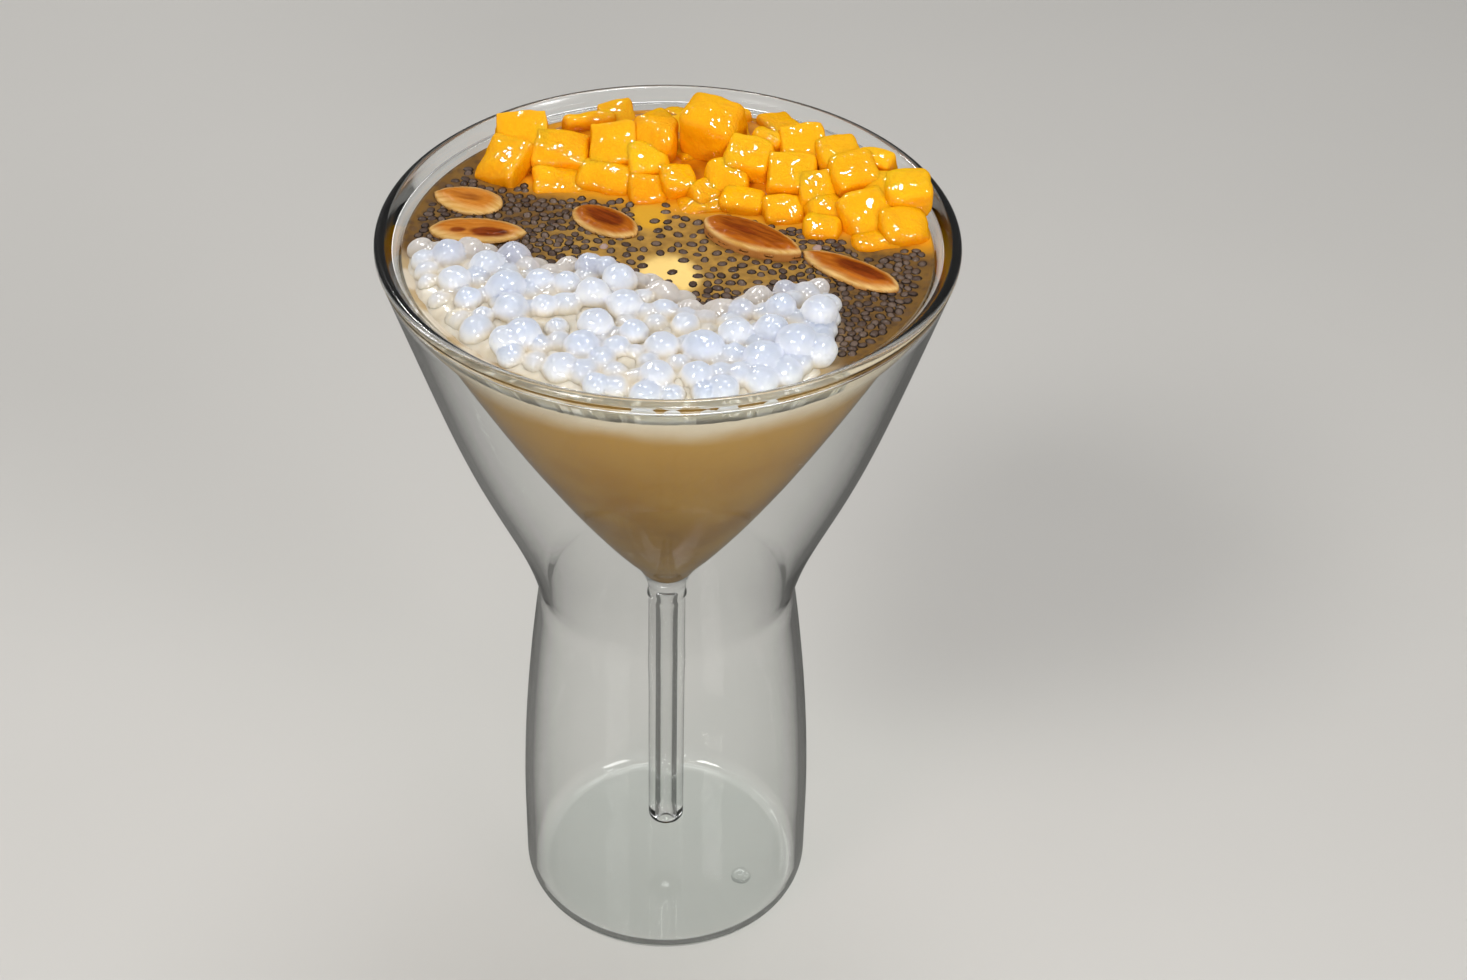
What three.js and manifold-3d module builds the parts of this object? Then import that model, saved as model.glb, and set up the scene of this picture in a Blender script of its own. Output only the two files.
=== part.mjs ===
// Mango sago served in a double-walled stemmed glass.
// Millimetres, +Z up, origin at the centre of the glass's underside.
import * as THREE from 'three';
import { ConvexGeometry } from 'three/addons/geometries/ConvexGeometry.js';
import { mergeVertices } from 'three/addons/utils/BufferGeometryUtils.js';
import Module from 'manifold-3d';

const wasm = await Module();
wasm.setup();

// Glass: outer wall
const RIM_RADIUS = 55;
const RIM_ROUND = 1.2;
const RIM_WIDTH = 3.4;
const GLASS_HEIGHT = 167.4;
const RIM_WIDEST_AT = GLASS_HEIGHT - RIM_ROUND;
const WALL = 1.7;
const FLOOR = 1.8;
const BASE_RADIUS = 31.1;
const BASE_CORNER = 4.6;
const BODY_STRAIGHT_TO = 20;
const BODY_TAPER = 1.8;
const WAIST_AT = 81.6;
const FLARE = 0.302;
const DIP_DEPTH = 3.5;
const DIP_AT = 90;
const DIP_SPREAD = 16.5;
const WALL_HEIGHTS = [20, 38, 54, 69, WAIST_AT, 90, 99, 109, 120, 138];

// Glass: inner bowl with the stem that hangs from its tip
const BOWL_TIP_AT = 83.2;
const BOWL_SPREAD = 0.774;
const BOWL_TIP_ROUND = 6.35;
const BOWL_BELLY = 0.0079;
const BOWL_WALL = 1.8;
const BOWL_RADII = [2.5, 5, 9, 15, 25, 37, 50];
const CAVITY_TOP = 164.6;
const CAVITY_TOP_ROUND = 0.8;
const STEM_RADIUS = 3.85;
const STEM_BORE = 1.3;
const STEM_END_AT = 13;
const STEM_END_ROUND = 1;
const STEM_BORE_TOP = 80.5;

// Glass: sealed vent in the floor
const VENT_X = 17;
const VENT_Y = -8;
const VENT_RADIUS = 1.5;
const SEAL_CAP_RADIUS = 2.2;
const SEAL_CAP_HEIGHT = 1.1;
const SEAL_SHOULDER = 0.6;

// Contents
const LEVEL = 163.5;
const CLEAR = 0.3;

// Diced mango, heaped behind a straight front edge across the back of the glass
const MANGO_EDGE_OFFSET = 13.6;
const MANGO_EDGE_TURN = -13.6;
const MANGO_CORE_INSET = 4.2;
const MANGO_CORE_DEPTH = 5;
const MANGO_CORE_RISE = 1.8;
const MANGO_CORE_ENDS = [-35, 44];
const DIE_SIZE = [6.8, 9.4];
const DIE_CHAMFER = 0.16;
const DIE_TILT = 0.28;
const DIE_TURN = 0.7;
const DIE_SHIFT = 1.2;
const DIE_LIFT = 0.9;
const MANGO_MARKS = [
  { x: -33, y: 25.5, rise: 1.2, size: [9.4, 11, 7.7], turn: -0.45, tilt: 0.3 },
  { x: -30, y: 32.5, rise: 2.6, size: [10.1, 9.5, 8.2], turn: 0.15, tilt: 0.35 },
  { x: -22, y: 29, rise: 2.2, size: [11.4, 9.7, 7.3], turn: -0.05, tilt: 0.42 },
  { x: -12, y: 29, rise: 3.2, size: [9.2, 9.7, 7.7], turn: 0.05, tilt: 0.45 },
  { x: -17.5, y: 41, rise: 1.6, size: [11, 4, 6.6], turn: 0.35, tilt: 0.3 },
  { x: -4, y: 31, rise: 4.6, size: [9.5, 9.2, 7.7], turn: -0.1, tilt: 0.35 },
  { x: -5, y: 25.8, rise: 2, size: [8.8, 8.4, 7.7], turn: 0.2, tilt: 0.4 },
  { x: -13, y: 22.4, rise: 0.2, size: [11.7, 8.4, 6.6], turn: -0.25, tilt: 0.45 },
  { x: -21.5, y: 22.6, rise: -1.4, size: [11.7, 8.8, 6.6], turn: 0.1, tilt: 0.3 },
  { x: -4.6, y: 18.8, rise: -0.2, size: [8.1, 7.7, 6.4], turn: 0.05, tilt: 0.4 },
  { x: 1, y: 20.4, rise: 1.4, size: [7.3, 7.7, 7.3], turn: 0.25, tilt: 0.45 },
  { x: 7.6, y: 31.4, rise: 7.2, size: [12, 10.6, 11.4], turn: -0.4, tilt: 0.2 },
  { x: 14.8, y: 24.3, rise: 4.7, size: [9.9, 9.2, 7.3], turn: -0.2, tilt: 0.42 },
  { x: 10.6, y: 20.4, rise: 2, size: [9.2, 8.1, 7.3], turn: 0.1, tilt: 0.4 },
  { x: 6.2, y: 17.6, rise: 0.6, size: [6.6, 6.6, 5.9], turn: 0.6, tilt: 0.5 },
  { x: 13.8, y: 15.4, rise: 0.3, size: [9.5, 7.3, 6.2], turn: -0.2, tilt: 0.3 },
  { x: 5.6, y: 15.2, rise: -1, size: [9.5, 6.2, 5.5], turn: 0.15, tilt: 0.3 },
  { x: 18.8, y: 28.5, rise: 5.6, size: [7, 4.8, 7.7], turn: -0.5, tilt: 0.3 },
  { x: 25, y: 26.8, rise: 5.6, size: [9, 8.4, 7.5], turn: 0.2, tilt: 0.4 },
  { x: 23, y: 19.8, rise: 3.4, size: [9.9, 9.5, 8.1], turn: -0.05, tilt: 0.38 },
  { x: 31.8, y: 24.4, rise: 5.6, size: [9, 8.4, 7.5], turn: 0.3, tilt: 0.3 },
  { x: 34.8, y: 18.8, rise: 4.8, size: [9.5, 9, 7.7], turn: 0.35, tilt: 0.4 },
  { x: 28, y: 16.4, rise: 2.2, size: [7.9, 8.1, 7.3], turn: 0.1, tilt: 0.4 },
  { x: 39.2, y: 22.6, rise: 5.4, size: [8.8, 5.5, 6.6], turn: -0.45, tilt: 0.3 },
  { x: 37.2, y: 10, rise: 1, size: [10.1, 10.6, 8.1], turn: 0.55, tilt: 0.45 },
  { x: 40.5, y: 16, rise: 3.2, size: [8.1, 7.7, 7.5], turn: -0.2, tilt: 0.4 },
  { x: 45.2, y: 14.6, rise: 4.4, size: [9.5, 9.7, 7.7], turn: 0.12, tilt: 0.3 },
  { x: 44.4, y: 6.8, rise: 0.6, size: [9.9, 9, 7], turn: 0.3, tilt: 0.35 },
  { x: 29, y: 7.6, rise: -0.6, size: [7.7, 7.5, 6.6], turn: -0.1, tilt: 0.3 },
  { x: 29.5, y: 12, rise: 0.4, size: [8.1, 7.7, 6.6], turn: 0.4, tilt: 0.35 },
  { x: 21.8, y: 12.4, rise: -0.3, size: [8.8, 7.7, 6.4], turn: 0.15, tilt: 0.35 },
  { x: 39, y: 3.6, rise: -1.2, size: [9.9, 6.6, 5.5], turn: 0.2, tilt: 0.15 },
];
const MANGO_ROWS = [
  { behind: 20, rise: -0.2, count: 9, from: -30, to: 34 },
  { behind: 27, rise: -0.6, count: 7, from: -25, to: 27 },
  { behind: 33, rise: -1, count: 3, from: -14, to: 14 },
];
const MARK_ROOM = 5.6;

// Sago pearls, heaped along the front with a bay and a notch in their back edge
const SAGO_EDGE_Y = -6.9;
const SAGO_EDGE_SLOPE = -0.12;
const SAGO_BAY = { x: 7.5, depth: 13, width: 11 };
const SAGO_NOTCH = { x: -22, depth: 4, width: 5 };
const SAGO_END_X = 32.5;
const SAGO_CORE_INSET = 3.4;
const SAGO_CORE_DEPTH = 7;
const SAGO_CORE_RISE = 1.5;
const SAGO_CORE_STEPS = 22;
const PEARL_FLATS = 1.09;
const SAGO_MARKS = [
  { x: -45, y: -9, rise: 1, radius: 2.5 },
  { x: -40.5, y: -8, rise: 2, radius: 3 },
  { x: -38.5, y: -16.5, rise: 2, radius: 3 },
  { x: -33, y: -11.5, rise: 2, radius: 3 },
  { x: -28.5, y: -8, rise: 2, radius: 3 },
  { x: -29, y: -19, rise: 2.5, radius: 3.5 },
  { x: -23, y: -16, rise: 2, radius: 2.5 },
  { x: -43.5, y: -15.5, rise: 0.5, radius: 2 },
  { x: -35.5, y: -22.5, rise: 2, radius: 2.5 },
  { x: -40.5, y: -21, rise: 0, radius: 2.5 },
  { x: -32.5, y: -27, rise: 1.5, radius: 2 },
  { x: -27.5, y: -25.5, rise: 2.5, radius: 3 },
  { x: -21.5, y: -24, rise: 2, radius: 2.5 },
  { x: -27.5, y: -35, rise: 2, radius: 3 },
  { x: -24.5, y: -33.5, rise: 2.5, radius: 3 },
  { x: -19, y: -30, rise: 1, radius: 2.5 },
  { x: -18, y: -16.5, rise: 2, radius: 2.5 },
  { x: -14, y: -11, rise: 2.5, radius: 2.5 },
  { x: -11, y: -12, rise: 3, radius: 2 },
  { x: -8.5, y: -15.5, rise: 2.5, radius: 3 },
  { x: -13, y: -20.5, rise: 3, radius: 3 },
  { x: -7, y: -23.5, rise: 2.5, radius: 3 },
  { x: -12, y: -30, rise: 2.5, radius: 3 },
  { x: -5, y: -31.5, rise: 2, radius: 2.5 },
  { x: -14, y: -36, rise: 2, radius: 3 },
  { x: -8, y: -36, rise: 1.5, radius: 2.5 },
  { x: -17.5, y: -41.5, rise: 1, radius: 3 },
  { x: -8, y: -42.5, rise: 0.5, radius: 2.5 },
  { x: -0.5, y: -44, rise: 1.5, radius: 3 },
  { x: 0, y: -35.5, rise: 1.5, radius: 3 },
  { x: -4.5, y: -37, rise: 1, radius: 2 },
  { x: 0, y: -23.5, rise: 1, radius: 2.5 },
  { x: -4, y: -19.5, rise: 1, radius: 2 },
  { x: 4, y: -28.5, rise: 1.5, radius: 2.5 },
  { x: 7.5, y: -36, rise: 2, radius: 3.5 },
  { x: 6.5, y: -43.5, rise: 1.5, radius: 3 },
  { x: 13, y: -31.5, rise: 2.5, radius: 3 },
  { x: 14, y: -23.5, rise: 1.5, radius: 2.5 },
  { x: 18, y: -39, rise: 2, radius: 3.5 },
  { x: 14, y: -42.5, rise: 1, radius: 2.5 },
  { x: 19.5, y: -31, rise: 3, radius: 3 },
  { x: 21, y: -23.5, rise: 3, radius: 2.5 },
  { x: 28, y: -24.5, rise: 3, radius: 3 },
  { x: 22, y: -16, rise: 1.5, radius: 2 },
  { x: 28, y: -14.5, rise: 1, radius: 2 },
  { x: 24, y: -35, rise: 3, radius: 3.5 },
  { x: 28, y: -35.5, rise: 2, radius: 3 },
  { x: 13, y: -37.5, rise: 1.5, radius: 2.5 },
];

// Toasted almond slices, lying flat on the surface, with the fullness of their two ends
const ALMONDS = [
  { x: -39.2, y: 14, length: 14.2, width: 9.4, thick: 1.2, turn: 2.8, blunt: 0.95, tip: 0.6 },
  { x: -36.2, y: 2.9, length: 18.6, width: 8.6, thick: 1.4, turn: -0.03, blunt: 0.86, tip: 0.7 },
  { x: -12.3, y: 7.6, length: 15, width: 9, thick: 1.2, turn: -0.63, blunt: 0.9, tip: 0.8 },
  { x: 15.8, y: 1.8, length: 21.4, width: 9.2, thick: 2.6, turn: -0.54, blunt: 0.86, tip: 0.55 },
  { x: 34, y: -7.4, length: 21.2, width: 7.8, thick: 1.4, turn: 2.55, blunt: 0.9, tip: 0.68 },
];
const ALMOND_EDGE = 0.35;
const ALMOND_BULGE = 1.28;

// Chia seeds in the surface between the heaps
const SEED_COUNT = 100;
const SEED_HALF = [1.1, 0.72, 0.5];
const SEED_SPACING = 3.2;
const SEED_TRIES = 4000;
const SEED_WALL_ROOM = 2.4;
const DIE_REACH = 0.75;

// Seeds of the random draws
const MANGO_DRAW = 41;
const CHIA_DRAW = 7;

// Fineness
const ROUND_STEPS = 44;
const SEAL_STEPS = 12;
const FAR = 300;

// A repeatable draw between two bounds
function drawFrom(seed) {
  let state = seed;
  return (low, high) => {
    state = (state * 16807) % 2147483647;
    return low + (high - low) * (state / 2147483647);
  };
}

// A three.js geometry as a closed solid
function solidOf(geometry) {
  geometry.deleteAttribute('normal');
  geometry.deleteAttribute('uv');
  const merged = mergeVertices(geometry);
  const corners = merged.index.array;
  const kept = [];
  for (let i = 0; i < corners.length; i += 3) {
    const [a, b, c] = corners.slice(i, i + 3);
    if (a !== b && b !== c && c !== a) {
      kept.push(a, b, c);
    }
  }
  const vertProperties = Float32Array.from(merged.attributes.position.array);
  const triVerts = Uint32Array.from(kept);
  return new wasm.Manifold(new wasm.Mesh({ numProp: 3, vertProperties, triVerts }));
}

// The largest body of a solid: loose scraps go and sealed hollows are filled
function mainBody(solid) {
  const bodies = solid.decompose();
  return bodies.reduce((best, body) => (body.volume() > best.volume() ? body : best));
}

function joined(solids) {
  return solids.reduce((whole, solid) => whole.add(solid));
}

// A profile of [radius, height] pairs turned about the vertical axis
function turned(profile, steps = ROUND_STEPS) {
  const points = profile.map(([radius, height]) => new THREE.Vector2(radius, height));
  return solidOf(new THREE.LatheGeometry(points, steps).rotateX(Math.PI / 2));
}

// A flat outline of [x, y] pairs raised between two heights
function raised(outline, low, high) {
  const shape = new THREE.Shape(outline.map(([x, y]) => new THREE.Vector2(x, y)));
  const block = new THREE.ExtrudeGeometry(shape, { depth: high - low, bevelEnabled: false });
  return solidOf(block.translate(0, 0, low));
}

function arc(x, y, radius, from, to, steps) {
  const points = [];
  for (let i = 0; i <= steps; i += 1) {
    const angle = from + ((to - from) * i) / steps;
    points.push([x + radius * Math.cos(angle), y + radius * Math.sin(angle)]);
  }
  return points;
}

function outerWall(height) {
  if (height >= WAIST_AT) {
    const fromDip = (height - DIP_AT) / DIP_SPREAD;
    return RIM_RADIUS - FLARE * (RIM_WIDEST_AT - height) - DIP_DEPTH * Math.exp(-fromDip * fromDip / 2);
  }
  const climb = Math.max(0, (height - BODY_STRAIGHT_TO) / (WAIST_AT - BODY_STRAIGHT_TO));
  return BASE_RADIUS - (BASE_RADIUS - outerWall(WAIST_AT)) * climb ** BODY_TAPER;
}

// A point of the bowl's outer face at a radius, moved in by an amount along the face's normal
function bowlPoint(radius, inset) {
  const run = radius / BOWL_SPREAD;
  const reach = Math.hypot(run, BOWL_TIP_ROUND);
  const height = BOWL_TIP_AT + reach - BOWL_TIP_ROUND + BOWL_BELLY * radius * radius;
  const slope = run / BOWL_SPREAD / reach + 2 * BOWL_BELLY * radius;
  const long = Math.hypot(slope, 1);
  return [Math.max(0, radius - (inset * slope) / long), height + inset / long];
}

function bowlProfile(inset) {
  return [[0, BOWL_TIP_AT + inset], ...BOWL_RADII.map((radius) => bowlPoint(radius, inset))];
}

function glassSolid() {
  const inset = BASE_RADIUS - BASE_CORNER;
  const corner = arc(inset, BASE_CORNER, BASE_CORNER, -Math.PI / 2, 0, 3);
  const rim = arc(RIM_RADIUS - RIM_ROUND, RIM_WIDEST_AT, RIM_ROUND, 0, 0.75 * Math.PI, 3);
  const outside = WALL_HEIGHTS.map((height) => [outerWall(height), height]);
  const inside = bowlProfile(BOWL_WALL).reverse();
  const block = turned([[0, 0], ...corner, ...outside, ...rim, ...inside]);

  const hollowCorner = arc(inset, BASE_CORNER, BASE_CORNER - WALL, -Math.PI / 2, 0, 2);
  hollowCorner[0][1] = FLOOR;
  const hollowWall = WALL_HEIGHTS.map((height) => [outerWall(height) - WALL, height]);
  const bowl = bowlProfile(0).slice(2).reverse();
  const hollowTop = [
    [outerWall(CAVITY_TOP) - WALL, CAVITY_TOP - CAVITY_TOP_ROUND],
    [outerWall(CAVITY_TOP) - WALL - CAVITY_TOP_ROUND, CAVITY_TOP],
  ];
  const stem = [
    [STEM_RADIUS, BOWL_TIP_AT],
    [STEM_RADIUS, STEM_END_AT + STEM_END_ROUND],
    [STEM_RADIUS - STEM_END_ROUND, STEM_END_AT],
    [STEM_BORE, STEM_END_AT],
    [STEM_BORE, STEM_BORE_TOP],
    [0, STEM_BORE_TOP],
  ];
  const hollow = turned([[0, FLOOR], ...hollowCorner, ...hollowWall, ...hollowTop, ...bowl, ...stem]);
  const drill = new THREE.CylinderGeometry(VENT_RADIUS, VENT_RADIUS, 4 * FLOOR, SEAL_STEPS);
  const vent = solidOf(drill.rotateX(Math.PI / 2).translate(VENT_X, VENT_Y, FLOOR));
  return block.subtract(hollow).subtract(vent);
}

// A stepped glass button that closes the vent from inside
function ventSealSolid() {
  const pin = VENT_RADIUS - CLEAR;
  const seat = FLOOR + CLEAR;
  const profile = [
    [0, CLEAR],
    [pin, CLEAR],
    [pin, seat],
    [SEAL_CAP_RADIUS, seat],
    [SEAL_CAP_RADIUS - SEAL_SHOULDER, seat + SEAL_SHOULDER],
    [0, seat + SEAL_CAP_HEIGHT],
  ];
  return turned(profile, SEAL_STEPS).translate(VENT_X, VENT_Y, 0);
}

// The room inside the bowl, open above the rim
function bowlRoom() {
  const mouth = RIM_RADIUS - RIM_WIDTH;
  const top = [
    [mouth, GLASS_HEIGHT],
    [mouth, FAR],
    [0, FAR],
  ];
  return turned([...bowlProfile(BOWL_WALL + CLEAR), ...top]);
}

// How far a place lies inside the mango core's plan
function mangoDepth(x, y) {
  const turn = THREE.MathUtils.degToRad(MANGO_EDGE_TURN);
  const along = x * Math.cos(turn) + y * Math.sin(turn);
  const out = y * Math.cos(turn) - x * Math.sin(turn);
  const [left, right] = MANGO_CORE_ENDS;
  return Math.min(out - MANGO_EDGE_OFFSET - MANGO_CORE_INSET, along - left, right - along);
}

function mangoSpot(along, behind) {
  const turn = THREE.MathUtils.degToRad(MANGO_EDGE_TURN);
  const out = behind + MANGO_EDGE_OFFSET;
  return {
    x: along * Math.cos(turn) - out * Math.sin(turn),
    y: along * Math.sin(turn) + out * Math.cos(turn),
  };
}

// Every mango die as a centre, sides, turn and tilts: the large ones in view first, then the rows
function mangoDice() {
  const draw = drawFrom(MANGO_DRAW);
  const dice = MANGO_MARKS.map((mark) => ({ ...mark, lean: 0 }));
  for (const row of MANGO_ROWS) {
    for (let i = 0; i < row.count; i += 1) {
      const step = (row.to - row.from) / row.count;
      const along = row.from + step * (i + 0.5) + draw(-DIE_SHIFT, DIE_SHIFT);
      const place = mangoSpot(along, row.behind + draw(-DIE_SHIFT, DIE_SHIFT));
      const size = [draw(...DIE_SIZE), draw(...DIE_SIZE), draw(...DIE_SIZE)];
      const rise = row.rise + draw(-DIE_LIFT, DIE_LIFT);
      const turn = draw(-DIE_TURN, DIE_TURN);
      const tilt = draw(-DIE_TILT, DIE_TILT);
      const lean = draw(-DIE_TILT, DIE_TILT);
      const crowded = MANGO_MARKS.some((mark) => (
        Math.hypot(mark.x - place.x, mark.y - place.y, mark.rise - rise) < MARK_ROOM));
      if (!crowded) {
        dice.push({ ...place, rise, size, turn, tilt, lean });
      }
    }
  }
  return dice;
}

// A box with all its edges chamfered
function dieSolid(die) {
  const corners = [];
  for (const x of [-1, 1]) {
    for (const y of [-1, 1]) {
      for (const z of [-1, 1]) {
        const cut = 1 - 2 * DIE_CHAMFER;
        corners.push([x, y * cut, z * cut], [x * cut, y, z * cut], [x * cut, y * cut, z]);
      }
    }
  }
  const half = die.size.map((side) => side / 2);
  const points = corners.map((c) => new THREE.Vector3(c[0] * half[0], c[1] * half[1], c[2] * half[2]));
  const angles = new THREE.Euler(die.tilt, die.lean, die.turn, 'ZYX');
  const pose = new THREE.Matrix4().makeRotationFromEuler(angles);
  pose.setPosition(die.x, die.y, LEVEL + die.rise);
  return solidOf(new ConvexGeometry(points).applyMatrix4(pose));
}

// The mango heap's core in plan, with its back run past the wall
function mangoCore(grow) {
  const behind = MANGO_CORE_INSET - grow;
  const [left, right] = MANGO_CORE_ENDS;
  const corners = [
    mangoSpot(left - grow, behind),
    mangoSpot(right + grow, behind),
    mangoSpot(right + grow, FAR),
    mangoSpot(left - grow, FAR),
  ];
  const outline = corners.map((spot) => [spot.x, spot.y]);
  return raised(outline, LEVEL - MANGO_CORE_DEPTH - grow, LEVEL + MANGO_CORE_RISE);
}

function sagoEdge(x) {
  const bump = ({ x: middle, depth, width }) => depth * Math.exp(-(((x - middle) / width) ** 2));
  return SAGO_EDGE_Y + SAGO_EDGE_SLOPE * x - bump(SAGO_BAY) - bump(SAGO_NOTCH);
}

// The sago heap's core in plan, with its front run past the wall
function sagoCore(grow) {
  const inset = SAGO_CORE_INSET - grow;
  const end = SAGO_END_X - inset;
  const outline = [[-2 * RIM_RADIUS, -FAR], [end, -FAR]];
  for (let i = 0; i <= SAGO_CORE_STEPS; i += 1) {
    const x = end - (i / SAGO_CORE_STEPS) * (end + RIM_RADIUS);
    outline.push([x, sagoEdge(x) - inset]);
  }
  outline.push([-2 * RIM_RADIUS, sagoEdge(-RIM_RADIUS) - inset]);
  return raised(outline, LEVEL - SAGO_CORE_DEPTH - grow, LEVEL + SAGO_CORE_RISE);
}

// Radius of the bowl's inner face at the level of the drink
function levelRadius() {
  let low = 0;
  let high = RIM_RADIUS;
  while (high - low > 0.01) {
    const middle = (low + high) / 2;
    if (bowlPoint(middle, BOWL_WALL)[1] < LEVEL) {
      low = middle;
    } else {
      high = middle;
    }
  }
  return bowlPoint(low, BOWL_WALL)[0];
}

// How far a place lies inside the sago heap's back edge and end
function sagoDepth(x, y) {
  return Math.min(sagoEdge(x) - y, SAGO_END_X - x);
}

function pearlSolid(pearl) {
  const ball = new THREE.DodecahedronGeometry(PEARL_FLATS * pearl.radius);
  ball.rotateZ(pearl.x + pearl.y);
  return solidOf(ball.translate(pearl.x, pearl.y, LEVEL + pearl.rise));
}

// An almond slice in plan, with one end rounder than the other
function almondShape({ length, width, blunt, tip }) {
  const half = length / 2;
  const side = (width / 2) * ALMOND_BULGE;
  const shape = new THREE.Shape();
  shape.moveTo(-half, 0);
  shape.bezierCurveTo(-half * blunt, -side, half * tip, -side, half, 0);
  shape.bezierCurveTo(half * tip, side, -half * blunt, side, -half, 0);
  return shape;
}

function almondGeometry(almond) {
  const options = {
    depth: almond.thick - 2 * ALMOND_EDGE,
    bevelThickness: ALMOND_EDGE,
    bevelSize: ALMOND_EDGE,
    bevelOffset: -ALMOND_EDGE,
    bevelSegments: 1,
    curveSegments: 9,
  };
  const slice = new THREE.ExtrudeGeometry(almondShape(almond), options);
  slice.rotateZ(almond.turn);
  return slice.translate(almond.x, almond.y, LEVEL + CLEAR + ALMOND_EDGE);
}

// True where a seed would touch an almond slice
function underAlmond(x, y, room) {
  return ALMONDS.some((almond) => {
    const dx = x - almond.x;
    const dy = y - almond.y;
    const along = dx * Math.cos(almond.turn) + dy * Math.sin(almond.turn);
    const across = dy * Math.cos(almond.turn) - dx * Math.sin(almond.turn);
    return Math.hypot(along / (almond.length / 2 + room), across / (almond.width / 2 + room)) < 1;
  });
}

// Every seed as a place and a turn, clear of the wall, heaps and slices
function chiaSeeds(dice, pearls) {
  const draw = drawFrom(CHIA_DRAW);
  const reach = levelRadius() - SEED_WALL_ROOM;
  const room = SEED_HALF[0] + CLEAR;
  const seeds = [];
  for (let i = 0; i < SEED_TRIES && seeds.length < SEED_COUNT; i += 1) {
    const x = draw(-RIM_RADIUS, RIM_RADIUS);
    const y = draw(-RIM_RADIUS, RIM_RADIUS);
    const turn = draw(0, Math.PI);
    const free = Math.hypot(x, y) < reach
      && mangoDepth(x, y) < -2 * room
      && sagoDepth(x, y) < SAGO_CORE_INSET - 2 * room
      && !underAlmond(x, y, 2 * room)
      && !dice.some((die) => Math.hypot(die.x - x, die.y - y) < DIE_REACH * Math.max(...die.size) + room)
      && !pearls.some((pearl) => Math.hypot(pearl.x - x, pearl.y - y) < pearl.radius + room)
      && !seeds.some((seed) => Math.hypot(seed.x - x, seed.y - y) < SEED_SPACING);
    if (free) {
      seeds.push({ x, y, turn });
    }
  }
  return seeds;
}

function seedSolid(seed) {
  const grain = new THREE.IcosahedronGeometry(1, 0);
  grain.scale(...SEED_HALF);
  grain.rotateZ(seed.turn);
  return solidOf(grain.translate(seed.x, seed.y, LEVEL));
}

function aboveLevel(solid) {
  const space = new THREE.BoxGeometry(2 * FAR, 2 * FAR, FAR);
  return solid.intersect(solidOf(space.translate(0, 0, LEVEL + CLEAR + FAR / 2)));
}

function belowLevel(solid) {
  const space = new THREE.BoxGeometry(2 * FAR, 2 * FAR, FAR);
  return solid.intersect(solidOf(space.translate(0, 0, LEVEL - FAR / 2)));
}

// A heap: its pieces above the drink, fused to a core that sits in it
function heapSolid(core, pieces, room) {
  return mainBody(aboveLevel(joined(pieces)).add(core).intersect(room));
}

const DESSERT = new THREE.Group();

function addGeometry(name, geometry, color, roughness) {
  geometry.computeVertexNormals();
  const material = new THREE.MeshStandardMaterial({ color, roughness, metalness: 0 });
  const mesh = new THREE.Mesh(geometry, material);
  mesh.name = name;
  DESSERT.add(mesh);
}

function addSolid(name, solid, color, roughness) {
  const { vertProperties, triVerts } = solid.getMesh();
  const geometry = new THREE.BufferGeometry();
  geometry.setAttribute('position', new THREE.BufferAttribute(vertProperties, 3));
  geometry.setIndex(new THREE.BufferAttribute(triVerts, 1));
  addGeometry(name, geometry, color, roughness);
}

const room = bowlRoom();
const dice = mangoDice();
const seeds = chiaSeeds(dice, SAGO_MARKS);
const bareDrink = belowLevel(room).subtract(mangoCore(CLEAR)).subtract(sagoCore(CLEAR));

addSolid('glass', glassSolid(), 0xdde4e6, 0.05);
addSolid('vent_seal', ventSealSolid(), 0xc9d0d2, 0.2);
addSolid('drink', mainBody(joined([bareDrink, ...seeds.map(seedSolid)])), 0xb98d52, 0.25);
addSolid('mango_heap', heapSolid(mangoCore(0), dice.map(dieSolid), room), 0xf6a91b, 0.35);
addSolid('sago_heap', heapSolid(sagoCore(0), SAGO_MARKS.map(pearlSolid), room), 0xe8eaf1, 0.2);
ALMONDS.forEach((almond, i) => {
  addGeometry(`almond_${i + 1}`, almondGeometry(almond), 0xc98741, 0.55);
});

export default DESSERT;
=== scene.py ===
import math

import bpy
import numpy as np
from mathutils import Euler, Matrix, Vector


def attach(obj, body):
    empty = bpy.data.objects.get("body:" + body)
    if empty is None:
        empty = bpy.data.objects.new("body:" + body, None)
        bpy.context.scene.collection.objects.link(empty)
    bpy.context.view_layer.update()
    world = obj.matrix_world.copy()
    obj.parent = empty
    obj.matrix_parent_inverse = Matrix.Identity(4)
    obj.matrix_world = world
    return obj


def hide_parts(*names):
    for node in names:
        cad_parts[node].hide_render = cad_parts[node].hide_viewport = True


# Mango sago in a double-walled glass. Sizes and places are in millimetres and become metres in the
# meshes. The finishes, the camera and the lamps are in metres.
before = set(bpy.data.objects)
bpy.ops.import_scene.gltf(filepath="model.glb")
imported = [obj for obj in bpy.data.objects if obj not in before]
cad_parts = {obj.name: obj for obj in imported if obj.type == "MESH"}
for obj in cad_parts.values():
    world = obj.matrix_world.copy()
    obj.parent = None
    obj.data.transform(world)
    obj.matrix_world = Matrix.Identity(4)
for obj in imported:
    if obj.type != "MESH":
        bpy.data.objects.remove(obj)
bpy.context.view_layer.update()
MM = 0.001

# Glass: outer wall
RIM_RADIUS = 55
RIM_ROUND = 1.2
RIM_WIDEST_AT = 166.2
RIM_TURN = 135
LIP_CORNER = 50
LIP_BEND = 0.28
WALL = 1.7
FLOOR = 1.8
BASE_RADIUS = 31.1
BASE_CORNER = 4.6
BODY_STRAIGHT_TO = 20
BODY_TAPER = 1.8
WAIST_AT = 81.6
FLARE = 0.302
DIP_DEPTH = 3.5
DIP_AT = 90
DIP_SPREAD = 16.5

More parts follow.
